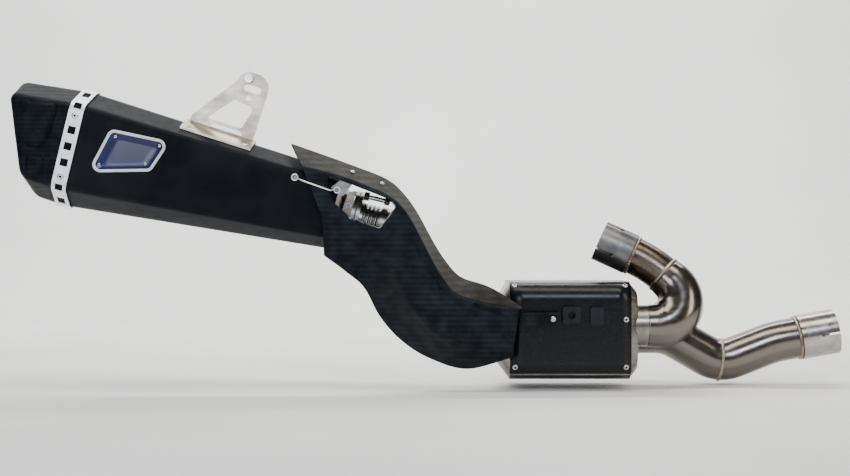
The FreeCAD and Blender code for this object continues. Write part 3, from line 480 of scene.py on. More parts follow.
def outline_normals(outline):
    """Unit normals of a closed outline, pointing out."""
    way = np.roll(outline, -1, 0) - np.roll(outline, 1, 0)
    normal = np.stack([way[:, 1], -way[:, 0]], -1) / np.linalg.norm(way, axis=1, keepdims=True)
    return normal * np.sign(np.sum(normal * (outline - outline.mean(0))))


def travelled(path):
    """Distance along a path to each of its points."""
    return np.concatenate([[0], np.cumsum(np.linalg.norm(np.diff(path, axis=0), axis=1))])


def revolved(name, axes, profile, around=64):
    """A closed (x, radius) profile in mm turned about a frame's x axis."""
    profile = np.asarray(profile, float)
    turn = np.linspace(0, 2 * math.pi, around, endpoint=False)
    x = np.broadcast_to(profile[:, :1], (len(profile), around))
    ring = np.stack([x, profile[:, 1:] * np.cos(turn), profile[:, 1:] * np.sin(turn)], -1)
    return outward(grid_object(name, axes.place(ring), True, True))


# ---- Silencer pieces, in the silencer's frame ----

HALF_DEPTH, HALF_SIDE, HALF_HEIGHT = 52.0, 48.0, 71.0
SLEEVE_LENGTH, END_SCALE = 312.0, 0.663
FACET = (HALF_HEIGHT - HALF_SIDE) / HALF_DEPTH


def hexagon(scale, inset, sides, arc=8):
    """The silencer's section as (y, z) points: upright sides, a low peak above and below, rounded corners."""
    depth = HALF_DEPTH * scale - inset
    height = HALF_HEIGHT * scale - inset * math.hypot(1, FACET)
    side = height - FACET * depth
    corners = [(-depth, -side), (-depth, side), (0, height), (depth, side), (depth, -side), (0, -height)]
    corner, peak = 12 * scale - inset, 25 * scale - inset
    return rounded_loop(corners, [corner, corner, peak] * 2, arc, sides)


def build_sleeve():
    """The sleeve's section shrinks evenly from 1 at the strap to 0.663 at its front; the wall is 1.2 mm."""
    rows = []
    for inset in (0, 1.2):
        stations = np.linspace(0, SLEEVE_LENGTH, 28)
        rings_at = [hexagon(1 - (1 - END_SCALE) * x / SLEEVE_LENGTH, inset, [12, 8, 8] * 2) for x in stations]
        loop = np.stack(rings_at)
        rows.append(np.concatenate([np.broadcast_to(stations[:, None, None], loop.shape[:2] + (1,)), loop], -1))
    piece = shell_object("silencer_sleeve_skin", SILENCER.place(rows[0]), SILENCER.place(rows[1]))
    finish(piece, "silencer", "black_coated_titanium", FINISHES["black_coated_titanium"], "silencer_sleeve")


def cap_relief(x, z):
    """Height of the cap's side: a hooked groove round a raised panel, and a raised rounded square below it."""
    spots = np.stack([x, z], -1)
    hook = [(-56, 41), (-27, 46), (-25, 40), (-27, 8), (-31, -3), (-37, -8), (-47, -8)]
    groove = -2.0 * np.exp(-(to_line(spots, hook) / 1.9) ** 2)
    panel = inside(spots, hook + [(-80, -4), (-85, 40)])
    raised = 1.6 * smooth(-panel, 0, 4) * smooth(x, -72, -54)
    square = inside(spots, rounded_loop([(-45, -20), (-27, -21), (-25, -38), (-40, -41)], 4, 5, 3))
    button = 1.9 * smooth(-square, -0.4, 2.2) - 0.9 * np.exp(-((square - 1.2) / 1.4) ** 2)
    return groove + raised + button


CAP_REAR = -83


def build_end_cap():
    """Rows run back along the outside, round the rim, in to the port, and forward again inside the wall.

    The rear plane stands 20.9 degrees off the section, with its top furthest back, and passes
    CAP_REAR at a height of 46 mm. The rim's radius is 7 mm, 16 mm over the roof and 12 mm under the floor.
    """
    base = hexagon(1, 0, [84, 10, 10] * 2, 10)
    normal = outline_normals(base)
    slant = math.tan(math.radians(20.9))
    shrink = 0.0012
    port, port_radius = (0, -5), 29.5
    rim = 7 + 9 * smooth(base[:, 1], 38, 68) + 5 * smooth(-base[:, 1], 38, 66)

    def ring(gap, run, inset):
        """One row: run from the rear plane, moved in by inset, with gap more from the plane."""
        rear = (CAP_REAR + (46 - base[:, 1]) * slant) / (1 + shrink * base[:, 1] * slant) + gap + run
        spot = base * (1 + shrink * rear)[:, None] - normal * np.reshape(inset, (-1, 1))
        plane = CAP_REAR + (46 - spot[:, 1]) * slant + gap + run
        return np.concatenate([plane[:, None], spot], -1)

    def wall(gap, inset, bow, steps):
        turned_in = ring(gap, bow, inset)
        share = np.linspace(0, 1, steps)[:, None, None]
        front = np.concatenate([np.zeros((len(base), 1)), base - normal * inset], -1)
        straight = front * (1 - share) + turned_in * share
        angles = np.linspace(0, math.pi / 2, 12)[1:]
        curve = [ring(gap, bow * (1 - math.sin(a)), inset + bow * (1 - math.cos(a))) for a in angles]
        return np.concatenate([straight, np.stack(curve)])

    def face(gap, edge):
        spoke = edge[:, 1:] - port
        spoke = spoke / np.linalg.norm(spoke, axis=1, keepdims=True) * port_radius + port
        share = smooth(np.linspace(0, 1, 8), 0, 1)[1:, None, None]
        flat = edge[None, :, 1:] * (1 - share) + spoke * share
        return np.concatenate([(CAP_REAR + (46 - flat[..., 1:]) * slant + gap), flat], -1)

    outer = wall(0, 0, rim, 84)
    side = smooth(np.abs(normal[:, 0]), 0.9, 0.99) * np.sign(normal[:, 0])
    outer[..., 1] += side * cap_relief(outer[..., 0], outer[..., 2])
    inner = wall(2.6, 2.2, np.maximum(rim - 2.2, 2), 12)
    grid = np.concatenate([outer, face(0, outer[-1]), face(2.6, inner[-1])[::-1], inner[::-1]])
    piece = outward(grid_object("end_cap_skin", SILENCER.place(grid), True, True))
    finish(piece, "silencer", "carbon_fibre", FINISHES["carbon_cap"], "end_cap")


def outer_side():
    """The frame on the silencer's outer side, which turns in towards the front."""
    return SILENCER.moved(0, -HALF_DEPTH, 0, math.atan(HALF_DEPTH * (1 - END_SCALE) / SLEEVE_LENGTH))


def build_badge():
    """A rounded plate of 1.2 mm, its white border 0.25 mm above the navy field."""
    outline = rounded_loop([(112, 33), (42, 31), (28, -24), (98, -6)], 9, 10, 10)
    middle = outline.mean(0)
    normal = outline_normals(outline)
    levels = [(0, -0.3), (0, -1.2), (0.3, -1.5), (3.0, -1.5), (3.3, -1.25)]
    rows = [(outline - normal * inset, depth) for inset, depth in levels]
    rows += [(middle + (rows[-1][0] - middle) * share, -1.25) for share in (0.6, 0.25, 0.0)]
    rows = [(middle + (outline - middle) * share, -0.3) for share in (0.0, 0.5)] + rows
    grid = np.stack([np.stack([loop[:, 0], np.full(len(loop), depth), loop[:, 1]], -1) for loop, depth in rows])
    piece = grid_object("badge_enamel", outer_side().place(grid), False, True)
    piece.data.materials.append(FINISHES["white_enamel"])
    count = len(outline)
    paint = np.where((np.arange(len(piece.data.polygons)) // count) >= 6, 1, 0)
    piece.data.polygons.foreach_set("material_index", paint)
    outward(piece)
    finish(piece, "silencer", "enamel_badge", FINISHES["enamel_badge"], "badge_plate")


# ---- Collector pieces ----

WALL = 1.2
BOX_CORNER = 22.0
SEAM_ANGLE = 0.8


def build_box_sleeve():
    """A rounded rectangle drawn out along x, with a folded seam low on its outer side.

    The seam stands out by 0.7 mm over a width of 1.6 mm, where the lower corner turns under.
    """
    low, high = (np.array(corner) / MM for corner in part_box("box_sleeve"))
    half = (high - low) / 2
    centre = (high + low) / 2
    corners = [(-half[1], -half[2]), (-half[1], half[2]), (half[1], half[2]), (half[1], -half[2])]
    stations = np.linspace(low[0], high[0], 10)
    walls = []
    turn = np.array([math.cos(SEAM_ANGLE), math.sin(SEAM_ANGLE)])
    for inset in (0, WALL):
        reach = np.sign(corners) * inset
        loop = rounded_loop(np.array(corners) - reach, BOX_CORNER - inset, 40, 14)
        if inset == 0:
            seam = np.linalg.norm(loop - (BOX_CORNER * (1 - turn) - half[1:]), axis=1)
            swell = 0.7 * np.exp(-(seam / 0.9) ** 4)
            loop = loop + swell[:, None] * loop / np.linalg.norm(loop, axis=1, keepdims=True)
            bare = swell > 0.2
        x = np.broadcast_to(stations[:, None, None], (len(stations), len(loop), 1))
        walls.append(np.concatenate([x, np.broadcast_to(loop + centre[1:], (len(stations),) + loop.shape)], -1))
    piece = shell_object("box_sleeve_skin", WORLD.place(walls[0]), WORLD.place(walls[1]))
    finish(piece, "collector", "black_coated_titanium", FINISHES["box_black"], "box_sleeve")
    piece.data.materials.append(FINISHES["stainless_sheet"])
    paint = np.zeros(len(piece.data.polygons), int)
    paint[:len(bare) * (len(stations) - 1)] = np.tile(bare, len(stations) - 1)
    piece.data.polygons.foreach_set("material_index", paint)


def pipe(node, axes, path, radii, heat, material, seam=0.0, around=64):
    """A tube along a flat path: circles of the given radii outside, raised by a seam, and one wall less inside."""
    outer = axes.place(rings(path, radii[:, None] + seam, around))
    inner = axes.place(rings(path, radii[:, None] - WALL, around))
    warmth = np.broadcast_to(np.reshape(heat, (len(path), -1)), outer.shape[:2])
    piece = shell_object(node + "_skin", outer, inner, warmth)
    finish(piece, "collector", "stainless_pipe", FINISHES[material], node)


def flat(points):
    """(x, z) pairs as points with y at 0."""
    return np.array([(x, 0, z) for x, z in points], float)


def tint(distance, places):
    """Heat along a pipe: for each (place, width, strength) a soft hump, the strongest winning."""
    humps = [strength * np.exp(-((distance - place) / width) ** 2) for place, width, strength in places]
    return np.clip(np.max(humps, axis=0), 0, 1)


COLLAR_RISE = math.radians(10)


def front_points():
    """The front inlet's route: box, knee, low point, long bend, collar."""
    rise = [math.cos(COLLAR_RISE), math.sin(COLLAR_RISE)]
    return flat([(-250, -2), (-205, -2), (-141, -39), (-76 * rise[0], -76 * rise[1]), (-45 * rise[0], -45 * rise[1])])


def front_path():
    """The front inlet's centre line, and the index of its lowest point."""
    points = front_points()
    path = along(points, [55, 40, 120], 1.2)
    return path, int(np.argmin(np.linalg.norm(path - points[2], axis=1)))


def build_front_pipes():
    """Two tubes of 50 mm that meet at the low point, where the route turns through an arc of 40 mm."""
    path, lowest = front_path()
    gone = travelled(path)
    warm = tint(gone, [(gone[lowest] - 26, 9, 0.85), (gone[lowest] - 44, 6, 0.55), (gone[lowest] - 60, 5, 0.8),
                       (gone[lowest], 7, 0.72), (gone[-1], 14, 0.8)])
    turn = np.linspace(0, 2 * math.pi, 64, endpoint=False)
    warm = warm[:, None] * (0.75 + 0.25 * np.cos(turn - 0.6))
    for node, part in (("front_inlet_rear_pipe", slice(0, lowest + 1)),
                       ("front_inlet_fore_pipe", slice(lowest, None))):
        pipe(node, WORLD, path[part], np.full(len(path[part]), 25.0), warm[part], "stainless_pipe")


UPPER = Axes(np.array([-238, -58, 10]) * MM, (1, 0, 0), (0, math.sin(math.radians(20)), math.cos(math.radians(20))))
UPPER_WELD, UPPER_COLLAR = math.radians(136.2), math.radians(154.1)


def heading(angle):
    """A unit step in the upper inlet's plane, at an angle from its x axis."""
    return np.array([math.cos(angle), 0, math.sin(angle)])


BEND_RADIUS = 32
BEND_CENTRE = np.array([10.0, 0, BEND_RADIUS])
WELD_WAY, COLLAR_WAY = heading(UPPER_WELD), heading(UPPER_COLLAR)
WELD_AT = BEND_CENTRE + BEND_RADIUS * heading(UPPER_WELD - math.pi / 2) + 10 * WELD_WAY
SHORT_CORNER = WELD_AT + 24 * WELD_WAY
COLLAR_AT = SHORT_CORNER + 24 * COLLAR_WAY


def build_upper_bend():
    """A pressed U-bend: circles that swell from 24.5 mm at the neck to 27.5 mm, then shrink to 23.5 mm.

    A seam 0.8 mm high and 1.6 mm wide runs round it in the plane of the bend, where its two shells meet.
    """
    angles = np.linspace(0, UPPER_WELD, 72)
    arc = BEND_CENTRE + BEND_RADIUS * np.stack([np.sin(angles), 0 * angles, -np.cos(angles)], -1)
    path = np.concatenate([np.linspace((0, 0, 0), (9, 0, 0), 8), arc,
                           np.linspace(WELD_AT - 9 * WELD_WAY, WELD_AT, 8)])
    gone = travelled(path)
    share = np.arange(1, 7) / 6
    places = np.concatenate([[0, 10], 10 + BEND_RADIUS * UPPER_WELD * share, [gone[-1]]])
    sizes = 24.5 + 3 * np.sin(math.pi * np.minimum(share * 0.5 + 0.3, 1)) - 1.4 * share
    radii = np.interp(gone, places, np.concatenate([[24.5, 25.3], sizes, [23.5]]))
    turn = np.linspace(0, 2 * math.pi, 96, endpoint=False)
    seam = 0.8 * (np.exp(-(np.sin(turn) * 26 / 0.9) ** 2))
    warm = tint(gone, [(0, 9, 0.8), (gone[-1], 12, 0.75), (gone[-1] * 0.5, 26, 0.35)])
    inner_side = 0.75 + 0.25 * np.cos(turn)
    pipe("upper_inlet_bend", UPPER, path, radii, warm[:, None] * inner_side, "stainless_pipe", seam, 96)


def build_upper_pipe():
    """The short tube of 45 mm between the bend's weld and the collar."""
    path = along([WELD_AT, SHORT_CORNER, COLLAR_AT], [150], 1.2)
    gone = travelled(path)
    warm = tint(gone, [(0, 8, 0.85), (gone[-1], 10, 0.8), (gone[-1] / 2, 30, 0.45)])
    pipe("upper_inlet_pipe", UPPER, path, np.full(len(path), 22.5), warm, "tinted_pipe")


def bead_ring(centre, way, radius, ripples, seed):
    """A weld bead round a pipe: a half-round ring whose height and place ripple as the coins of weld overlap."""
    around, section = ripples * 6, 10
    turn = np.linspace(0, 2 * math.pi, around, endpoint=False)[:, None]
    profile = np.linspace(0, 2 * math.pi, section, endpoint=False)[None, :]
    coins = np.abs(np.sin(turn * ripples / 2))
    sway = np.random.default_rng(seed).normal(0, 0.12, (around, 1))
    thick = 1.75 + 0.35 * coins
    way = np.asarray(way, float)
    upright = np.array([0.0, 1, 0])
    across = np.cross(way, upright)
    spoke = np.cos(turn)[..., None] * across + np.sin(turn)[..., None] * upright
    reach = radius + thick * np.cos(profile)
    return np.asarray(centre) + spoke * reach[..., None] + (thick * np.sin(profile) + sway)[..., None] * way


def build_beads():
    """The four weld beads, in stacked coins."""
    path, lowest = front_path()
    way = path[lowest + 1] - path[lowest - 1]
    rise = np.array([math.cos(COLLAR_RISE), 0, math.sin(COLLAR_RISE)])
    groups = {
        "upper_weld_beads": (UPPER, [bead_ring(WELD_AT + WELD_WAY * 2.2, WELD_WAY, 22.3, 42, 1),
                                     bead_ring(COLLAR_AT - COLLAR_WAY * 2.2, COLLAR_WAY, 22.3, 42, 2)]),
        "front_weld_beads": (WORLD, [bead_ring(path[lowest], way / np.linalg.norm(way), 24.3, 46, 3),
                                     bead_ring(path[-1] - rise * 2.2, rise, 24.8, 46, 4)]),
    }
    for name, (axes, grids) in groups.items():
        for index, grid in enumerate(grids):
            piece = outward(grid_object(f"{name}_{index + 1}", axes.place(grid), True, True))
            finish(piece, "collector", "weld_bead", FINISHES["weld_bead"], name)


# ---- Heat shield and rivets ----

SHIELD_FACE = -105.0
# Each row: (x, z) of the four long edges, then how far the first and the last stand behind the face.
SHIELD_STATIONS = np.array([
    ((-657, 225), (-641, 196), (-618, 138), (-616, 93), (45, 6)),
    ((-600, 205), (-597, 185), (-590, 134), (-592, 75), (45, 14)),
    ((-540, 182), (-542, 163), (-565, 120), (-571, 55), (45, 36)),
    ((-513, 152), (-519, 141), (-541, 89), (-553, 21), (45, 45)),
    ((-483, 97), (-490, 84), (-517, 41), (-528, -7), (45, 45)),
    ((-460, 68), (-467, 49), (-491, 9), (-495, -28), (42, 44)),
    ((-424, 57), (-431, 38), (-455, -6), (-450, -40), (22, 34)),
    ((-387, 34), (-391, 31), (-398, -16), (-397, -24), (7, 7)),
], float)
WINDOW = rounded_loop([(-613, 172), (-611, 187), (-599, 181), (-541, 158), (-534, 149), (-552, 125),
                       (-586, 137), (-605, 155)], [2, 3, 6, 5, 3, 5, 8, 6], 8, 6)


def eased(points, where, looseness):
    """A curve through stations: a mix of straight runs with softened corners and a smooth spline."""
    last = len(points) - 1
    reach = np.minimum(0.3, np.minimum(where, last - where))
    runs = np.zeros((len(where), 3))
    for share in np.linspace(-1, 1, 9):
        spot = where + share * reach
        runs += np.stack([np.interp(spot, np.arange(last + 1), points[:, axis]) for axis in range(3)], -1) / 9
    padded = np.concatenate([[2 * points[0] - points[1]], points, [2 * points[-1] - points[-2]]])
    index = np.minimum(where.astype(int), last - 1)
    t = (where - index)[:, None]
    p0, p1, p2, p3 = (padded[index + step] for step in range(4))
    spline = 0.5 * (2 * p1 + (p2 - p0) * t + (2 * p0 - 5 * p1 + 4 * p2 - p3) * t ** 2
                    + (3 * p1 - p0 - 3 * p2 + p3) * t ** 3)
    return runs * (1 - looseness) + spline * looseness


def fold(before, crease, after, reach, steps):
    """A rounded crease: a quadratic curve between two points reach mm from it, as (rows, steps, 3)."""
    back = before - crease
    ahead = after - crease
    start = crease + back / np.linalg.norm(back, axis=1, keepdims=True) * reach
    end = crease + ahead / np.linalg.norm(ahead, axis=1, keepdims=True) * reach
    t = np.linspace(0, 1, steps)[None, :, None]
    return start[:, None] * (1 - t) ** 2 + crease[:, None] * 2 * t * (1 - t) + end[:, None] * t ** 2


def shield_relief(x, z):
    """How far the flat side is pressed in: three pressed grooves, a soft fold, and a raised lip round the window."""
    spots = np.stack([x, z], -1)
    grooves = [([(-511, 106), (-504, 87), (-520, 90)], 1.5, 1.3),
               ([(-516, 80), (-502, 77), (-492, 71), (-483, 56)], 1.7, 1.6),
               ([(-444, 34), (-412, 25), (-405, 18), (-404, 2)], 1.7, 2.0)]
    depth = sum(deep * np.exp(-(to_line(spots, line) / width) ** 2) for line, deep, width in grooves)
    across = (x + 489) * 0.93 - (z - 39) * 0.36
    step = -1.4 * smooth(across, -5, 5) * smooth(-(x + 396), 0, 14)
    rim = inside(spots, WINDOW)
    lip = -0.9 * np.exp(-((rim - 1.3) / 1.1) ** 2) * (rim > 0)
    return depth + step + lip


def build_shield():
    """Four long edges run through the stations, with bands between them and creases rounded over 5 mm.

    The inner skin lies 2 mm inside the outer one. The window is cut through afterwards.
    """
    where = np.linspace(0, 7, 330)
    backs = SHIELD_STATIONS[:, 4]
    edges = []
    for row, looseness in enumerate((0.25, 0.3, 0.7, 1.0)):
        depth = SHIELD_FACE + (backs[:, 0] if row == 0 else backs[:, 1] if row == 3 else 0 * backs[:, 0])
        points = np.stack([SHIELD_STATIONS[:, row, 0], depth, SHIELD_STATIONS[:, row, 1]], -1)
        edges.append(eased(points, where, looseness))
    upper = fold(edges[0], edges[1], edges[2], 3.0, 7)
    lower = fold(edges[1], edges[2], edges[3], 7.0, 9)
    bands = []
    for start, end, count in ((edges[0], upper[:, 0], 14), (upper[:, -1], lower[:, 0], 66),
                              (lower[:, -1], edges[3], 20)):
        share = np.linspace(0, 1, count)[None, :, None]
        bands.append(start[:, None] * (1 - share) + end[:, None] * share)
    outer = np.concatenate([bands[0], upper[:, 1:-1], bands[1], lower[:, 1:-1], bands[2]], 1)
    normal = np.cross(np.gradient(outer, axis=0), np.gradient(outer, axis=1))
    normal /= np.linalg.norm(normal, axis=2, keepdims=True)
    normal *= -np.sign(np.mean(normal[..., 1]))
    inner = outer - 2.0 * normal
    facing = smooth(-normal[..., 1], 0.9, 0.995)
    outer = outer + facing[..., None] * shield_relief(outer[..., 0], outer[..., 2])[..., None] * np.array([0, 1, 0])
    rows, columns = outer.shape[:2]
    grid = np.concatenate([outer, inner[:, ::-1]], 1)
    j = np.arange(columns - 1)
    caps = [np.stack([row + j, row + j + 1, row + 2 * columns - 2 - j, row + 2 * columns - 1 - j], -1)
            for row in (0, (rows - 1) * 2 * columns)]
    faces = np.concatenate([grid_faces(rows, 2 * columns, False, True)] + caps)
    piece = outward(make_mesh("heat_shield_skin", WORLD.place(grid.reshape(-1, 3)), faces))
    count = len(WINDOW)
    prism = np.stack([np.stack([WINDOW[:, 0], np.full(count, depth), WINDOW[:, 1]], -1) for depth in (-120, -96)])
    cutter = make_mesh("window_cutter", WORLD.place(prism.reshape(-1, 3)), grid_faces(2, count, False, True))
    build = bmesh.new()
    build.from_mesh(cutter.data)
    bmesh.ops.holes_fill(build, edges=build.edges)
    bmesh.ops.recalc_face_normals(build, faces=build.faces)
    build.to_mesh(cutter.data)
    build.free()
    cut = piece.modifiers.new("Window", "BOOLEAN")
    cut.object = cutter
    cut.solver = "EXACT"
    view = bpy.context.evaluated_depsgraph_get()
    piece.data = bpy.data.meshes.new_from_object(piece.evaluated_get(view))
    piece.modifiers.clear()
    bpy.data.objects.remove(cutter)
    finish(piece, "collector", "carbon_fibre", FINISHES["carbon_fibre"], "heat_shield")
    paint_shield(piece.data)


def paint_shield(mesh):
    """Material by place: a lighter, browner copy of the carbon on the upward-facing band above the upper crease, and
    a much lighter copy on the window's right and bottom edge, both painted highlights, with plain carbon on the flat
    side.
    """
    for key in ("carbon_painted_highlight_band", "carbon_painted_highlight_lip"):
        mesh.materials.append(FINISHES[key])
    count = len(mesh.polygons)
    centres, normals = np.empty(count * 3), np.empty(count * 3)
    mesh.polygons.foreach_get("center", centres)
    mesh.polygons.foreach_get("normal", normals)
    centres = centres.reshape(-1, 3) / MM
    normals = normals.reshape(-1, 3)
    spots = centres[:, [0, 2]]
    behind_side = centres[:, 1] > -102.5
    # The upward-facing band takes a lighter copy of the carbon: a painted highlight.
    band = behind_side & (normals[:, 1] > -0.93) & (normals[:, 2] > 0.05)
    # The window's right and bottom edge takes the much lighter copy: a painted highlight.
    rim = to_line(spots, [(-537, 154), (-534.6, 149), (-552, 126), (-586, 138)])
    lip = (rim < 1.5) & (centres[:, 1] < -102)
    mesh.polygons.foreach_set("material_index", np.where(lip, 2, np.where(band, 1, 0)))
    mesh.polygons.foreach_set("use_smooth", np.full(count, True))
    mesh.set_sharp_from_angle(angle=math.radians(35))


BOX_RIVETS = [(0.0579, 0.95), (0.0187, 0.0), (-0.0366, -0.3)]


def blind_rivet(name, place, way, radius, body, node):
    """A domed head with the hole that its mandrel leaves, painted matt black inside as painted shade; place in
    metres, way pointing out.
    """
    way = np.asarray(way, float) / np.linalg.norm(way)
    upright = np.array([0, 0, 1.0]) - way * way[2]
    if np.linalg.norm(upright) < 0.1:
        upright = np.array([1.0, 0, 0]) - way * way[0]
    axes = Axes(place, way, upright / np.linalg.norm(upright))
    hole = radius * 0.36
    profile = [(-0.3, 0.02), (-0.3, radius), (0.3, radius), (0.8, radius * 0.9), (1.2, radius * 0.7),
               (1.35, hole + 0.3), (1.2, hole), (0.2, hole - 0.1), (0.1, 0.02)]
    piece = revolved(name, axes, profile, 28)
    piece.data.materials.append(FINISHES["zinc_fastener"])
    finish(piece, body, "zinc_fastener", FINISHES["black_outlet"], node)
    # The inside of the mandrel hole takes the matt black finish: painted shade in the recess.
    rows = np.arange(len(piece.data.polygons)) // 28
    piece.data.polygons.foreach_set("material_index", np.where(rows >= 6, 1, 0))


def build_rivets():
    """Blind rivets on the strap, the badge and both sides of the box."""
    for index, (side, z) in enumerate([(-1, 36), (-1, -36), (1, 36), (1, -36)]):
        place = SILENCER.place(np.array([0, side * 54.0, z]))
        blind_rivet(f"strap_rivet_{index + 1}", place, side * SILENCER.side, 3.8, "silencer", "strap_rivets")
    facing = outer_side()
    for index, (x, z) in enumerate([(101, 25), (50, 23.5), (39, -12), (90, 1)]):
        blind_rivet(f"badge_rivet_{index + 1}", facing.place(np.array([x, -1.25, z])), -facing.side, 1.9,
                    "silencer", "badge_rivets")
    low, high = (np.array(corner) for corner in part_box("box_sleeve"))
    index = 0
    for side, skin in ((-1, low[1]), (1, high[1])):
        for x in (low[0] + 0.006, high[0] - 0.006):
            for z, lean in BOX_RIVETS:
                index += 1
                sink = BOX_CORNER * MM * (1 - math.cos(lean))
                way = np.array([0, side * math.cos(lean), math.sin(lean)])
                blind_rivet(f"box_rivet_{index}", (x, skin - side * sink, z), way, 3.3, "collector", "box_rivets")


# ---- Stage, light and camera ----

CAMERA = (-0.4996, -1.83, 0.1135)
LENS_MM = 63.53


def area_light(name, place, target, width, depth, watts, code="ffffff"):
    """A rectangular lamp aimed at a point."""
    lamp = bpy.data.lights.new(name, "AREA")
    lamp.shape = "RECTANGLE"
    lamp.size, lamp.size_y = width, depth
    lamp.energy = watts
    lamp.color = linear(code)[:3]
    holder = bpy.data.objects.new(name, lamp)
    holder.location = place
    holder.rotation_euler = (Vector(target) - Vector(place)).to_track_quat("-Z", "Y").to_euler()
    bpy.context.scene.collection.objects.link(holder)
    return holder


def build_stage(lamp_power, world_strength):
    """A pale floor that curves up into a backdrop, soft lamps, a grey world and the camera."""
    material, tree, shader, place = start_material("Pale matt paper", Metallic=0.0)
    tone = noise(tree, place, 300, 2)
    tree.links.new(ramp(tree, tone, [(0.3, "eeeeec"), (0.7, "f6f6f4")]), shader.inputs["Base Color"])
    tree.links.new(vary(tree, tone, 0.8, 0.9), shader.inputs["Roughness"])
    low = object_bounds()[0][2] - 0.004
    bend = np.linspace(0, math.pi / 2, 24)
    run = np.concatenate([[-2.6], 1.1 + 0.7 * np.sin(bend), [1.8]])
    rise = np.concatenate([[0], 0.7 - 0.7 * np.cos(bend), [2.6]])
    wide = np.array([-3.6, 2.6])
    sweep = np.stack([np.stack([np.full(len(run), x), run, low + rise], -1) for x in wide], 0)
    floor = grid_object("Backdrop", sweep, flip=True)
    floor.data.materials.append(material)
    floor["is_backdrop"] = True
    middle = (-0.5, 0, 0.08)
    lamps = [
        area_light("Top lamp", (-0.6, -0.3, 1.25), middle, 1.9, 0.4, 15, "fffaf2"),
        area_light("Front lamp", (-0.1, -1.9, 1.1), middle, 0.6, 0.4, 14, "eaf2ff"),
        area_light("Left lamp", (-1.15, -1.7, 0.5), (-0.85, 0, 0.2), 0.7, 0.5, 9, "eaf2ff"),
        area_light("Side lamp", (1.0, -0.8, 0.55), middle, 0.35, 0.9, 7, "fff3e2"),
        area_light("Backdrop lamp", (-0.5, 0.95, 1.75), (-0.5, 1.75, 0.35), 3.0, 0.5, 70),
    ]
    for lamp in lamps:
        lamp.data.energy *= lamp_power
    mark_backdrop(*lamps)
    world = bpy.data.worlds.new("Grey studio")
    world.use_nodes = True
    backdrop = world.node_tree.nodes["Background"]
    backdrop.inputs["Color"].default_value = linear("dfe3e8")
    backdrop.inputs["Strength"].default_value = world_strength
    bpy.context.scene.world = world
    lens = bpy.data.cameras.new("Camera")
    lens.lens = LENS_MM
    lens.sensor_width = 36
    lens.clip_start = 0.05
    view = bpy.data.objects.new("Camera", lens)
    view.location = CAMERA
    view.rotation_euler = (math.pi / 2, 0, 0)
    bpy.context.scene.collection.objects.link(view)
    bpy.context.scene.camera = view


# ---- Add-on: settings, operators, panel ----

class ExhaustSettings(bpy.types.PropertyGroup):
    """Settings of the build."""

    tow_width: FloatProperty(name="Tow width", description="Width of one carbon tow in the cloth", default=0.0022,
                             min=0.0005, max=0.01, unit="LENGTH")
    lamp_power: FloatProperty(name="Lamp power", description="Share of the lamps' full power", default=1.0,
                              min=0.0, max=4.0, unit="NONE")
    world_strength: FloatProperty(name="World strength", description="Strength of the studio's surrounding light",
                                  default=0.12, min=0.0, max=3.0, unit="NONE")


class ExhaustOperator:
    """What every step shares: it runs its work and reports that it is done."""

    bl_options = {"REGISTER", "UNDO"}

    def execute(self, context):
        self.work(context.scene.exhaust)
        return {"FINISHED"}


class EXHAUST_OT_finishes(ExhaustOperator, bpy.types.Operator):
    """Makes the materials and gives each measured piece its own"""

    bl_idname = "exhaust.finishes"
    bl_label = "Make finishes"

    def work(self, settings):
        FINISHES.update(make_materials(settings.tow_width / MM))
        dress_frame()


class EXHAUST_OT_silencer(ExhaustOperator, bpy.types.Operator):
    """Builds the silencer's sleeve and its badge"""

    bl_idname = "exhaust.silencer"
    bl_label = "Build sleeve and badge"

    def work(self, settings):
        build_sleeve()
        build_badge()


class EXHAUST_OT_end_cap(ExhaustOperator, bpy.types.Operator):
    """Builds the slanted end cap with its pressed panel"""

    bl_idname = "exhaust.end_cap"
    bl_label = "Build end cap"

    def work(self, settings):
        build_end_cap()


class EXHAUST_OT_box(ExhaustOperator, bpy.types.Operator):
    """Builds the collector box's sleeve with its folded seam"""

    bl_idname = "exhaust.box"
    bl_label = "Build box sleeve"

    def work(self, settings):
        build_box_sleeve()


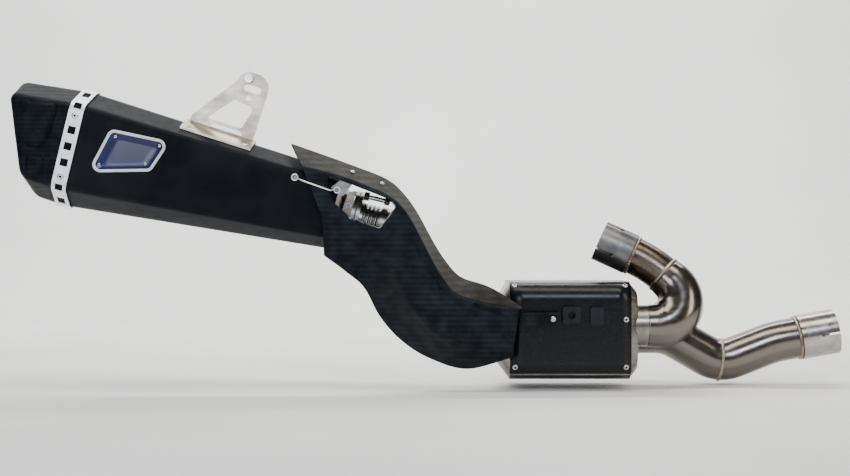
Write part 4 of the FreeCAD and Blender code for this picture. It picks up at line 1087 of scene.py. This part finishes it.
class EXHAUST_OT_pipes(ExhaustOperator, bpy.types.Operator):
    """Builds the inlet pipes, the pressed bend and their weld beads"""

    bl_idname = "exhaust.pipes"
    bl_label = "Build pipes"

    def work(self, settings):
        build_front_pipes()
        build_upper_bend()
        build_upper_pipe()
        build_beads()


class EXHAUST_OT_shield(ExhaustOperator, bpy.types.Operator):
    """Builds the carbon heat shield"""

    bl_idname = "exhaust.shield"
    bl_label = "Build heat shield"

    def work(self, settings):
        build_shield()


class EXHAUST_OT_rivets(ExhaustOperator, bpy.types.Operator):
    """Builds the blind rivets"""

    bl_idname = "exhaust.rivets"
    bl_label = "Build rivets"

    def work(self, settings):
        build_rivets()


class EXHAUST_OT_stage(ExhaustOperator, bpy.types.Operator):
    """Sets the floor, lamps, world and camera"""

    bl_idname = "exhaust.stage"
    bl_label = "Set stage"

    def work(self, settings):
        build_stage(settings.lamp_power, settings.world_strength)


STEPS = [EXHAUST_OT_finishes, EXHAUST_OT_silencer, EXHAUST_OT_end_cap, EXHAUST_OT_box, EXHAUST_OT_pipes,
         EXHAUST_OT_shield, EXHAUST_OT_rivets, EXHAUST_OT_stage]


class EXHAUST_PT_panel(bpy.types.Panel):
    """Exhaust panel in the sidebar"""

    bl_label = "Racing exhaust"
    bl_idname = "EXHAUST_PT_panel"
    bl_space_type = "VIEW_3D"
    bl_region_type = "UI"
    bl_category = "Exhaust"

    def draw(self, context):
        for name in ("tow_width", "lamp_power", "world_strength"):
            self.layout.prop(context.scene.exhaust, name)
        for step in STEPS:
            self.layout.operator(step.bl_idname)


CLASSES = [ExhaustSettings, *STEPS, EXHAUST_PT_panel]


def register():
    for item in CLASSES:
        bpy.utils.register_class(item)
    bpy.types.Scene.exhaust = PointerProperty(type=ExhaustSettings)


def unregister():
    del bpy.types.Scene.exhaust
    for item in reversed(CLASSES):
        bpy.utils.unregister_class(item)


def main():
    """Registers the add-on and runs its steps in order."""
    register()
    for step in STEPS:
        family, name = step.bl_idname.split(".")
        getattr(getattr(bpy.ops, family), name)()


if __name__ == "__main__":
    main()
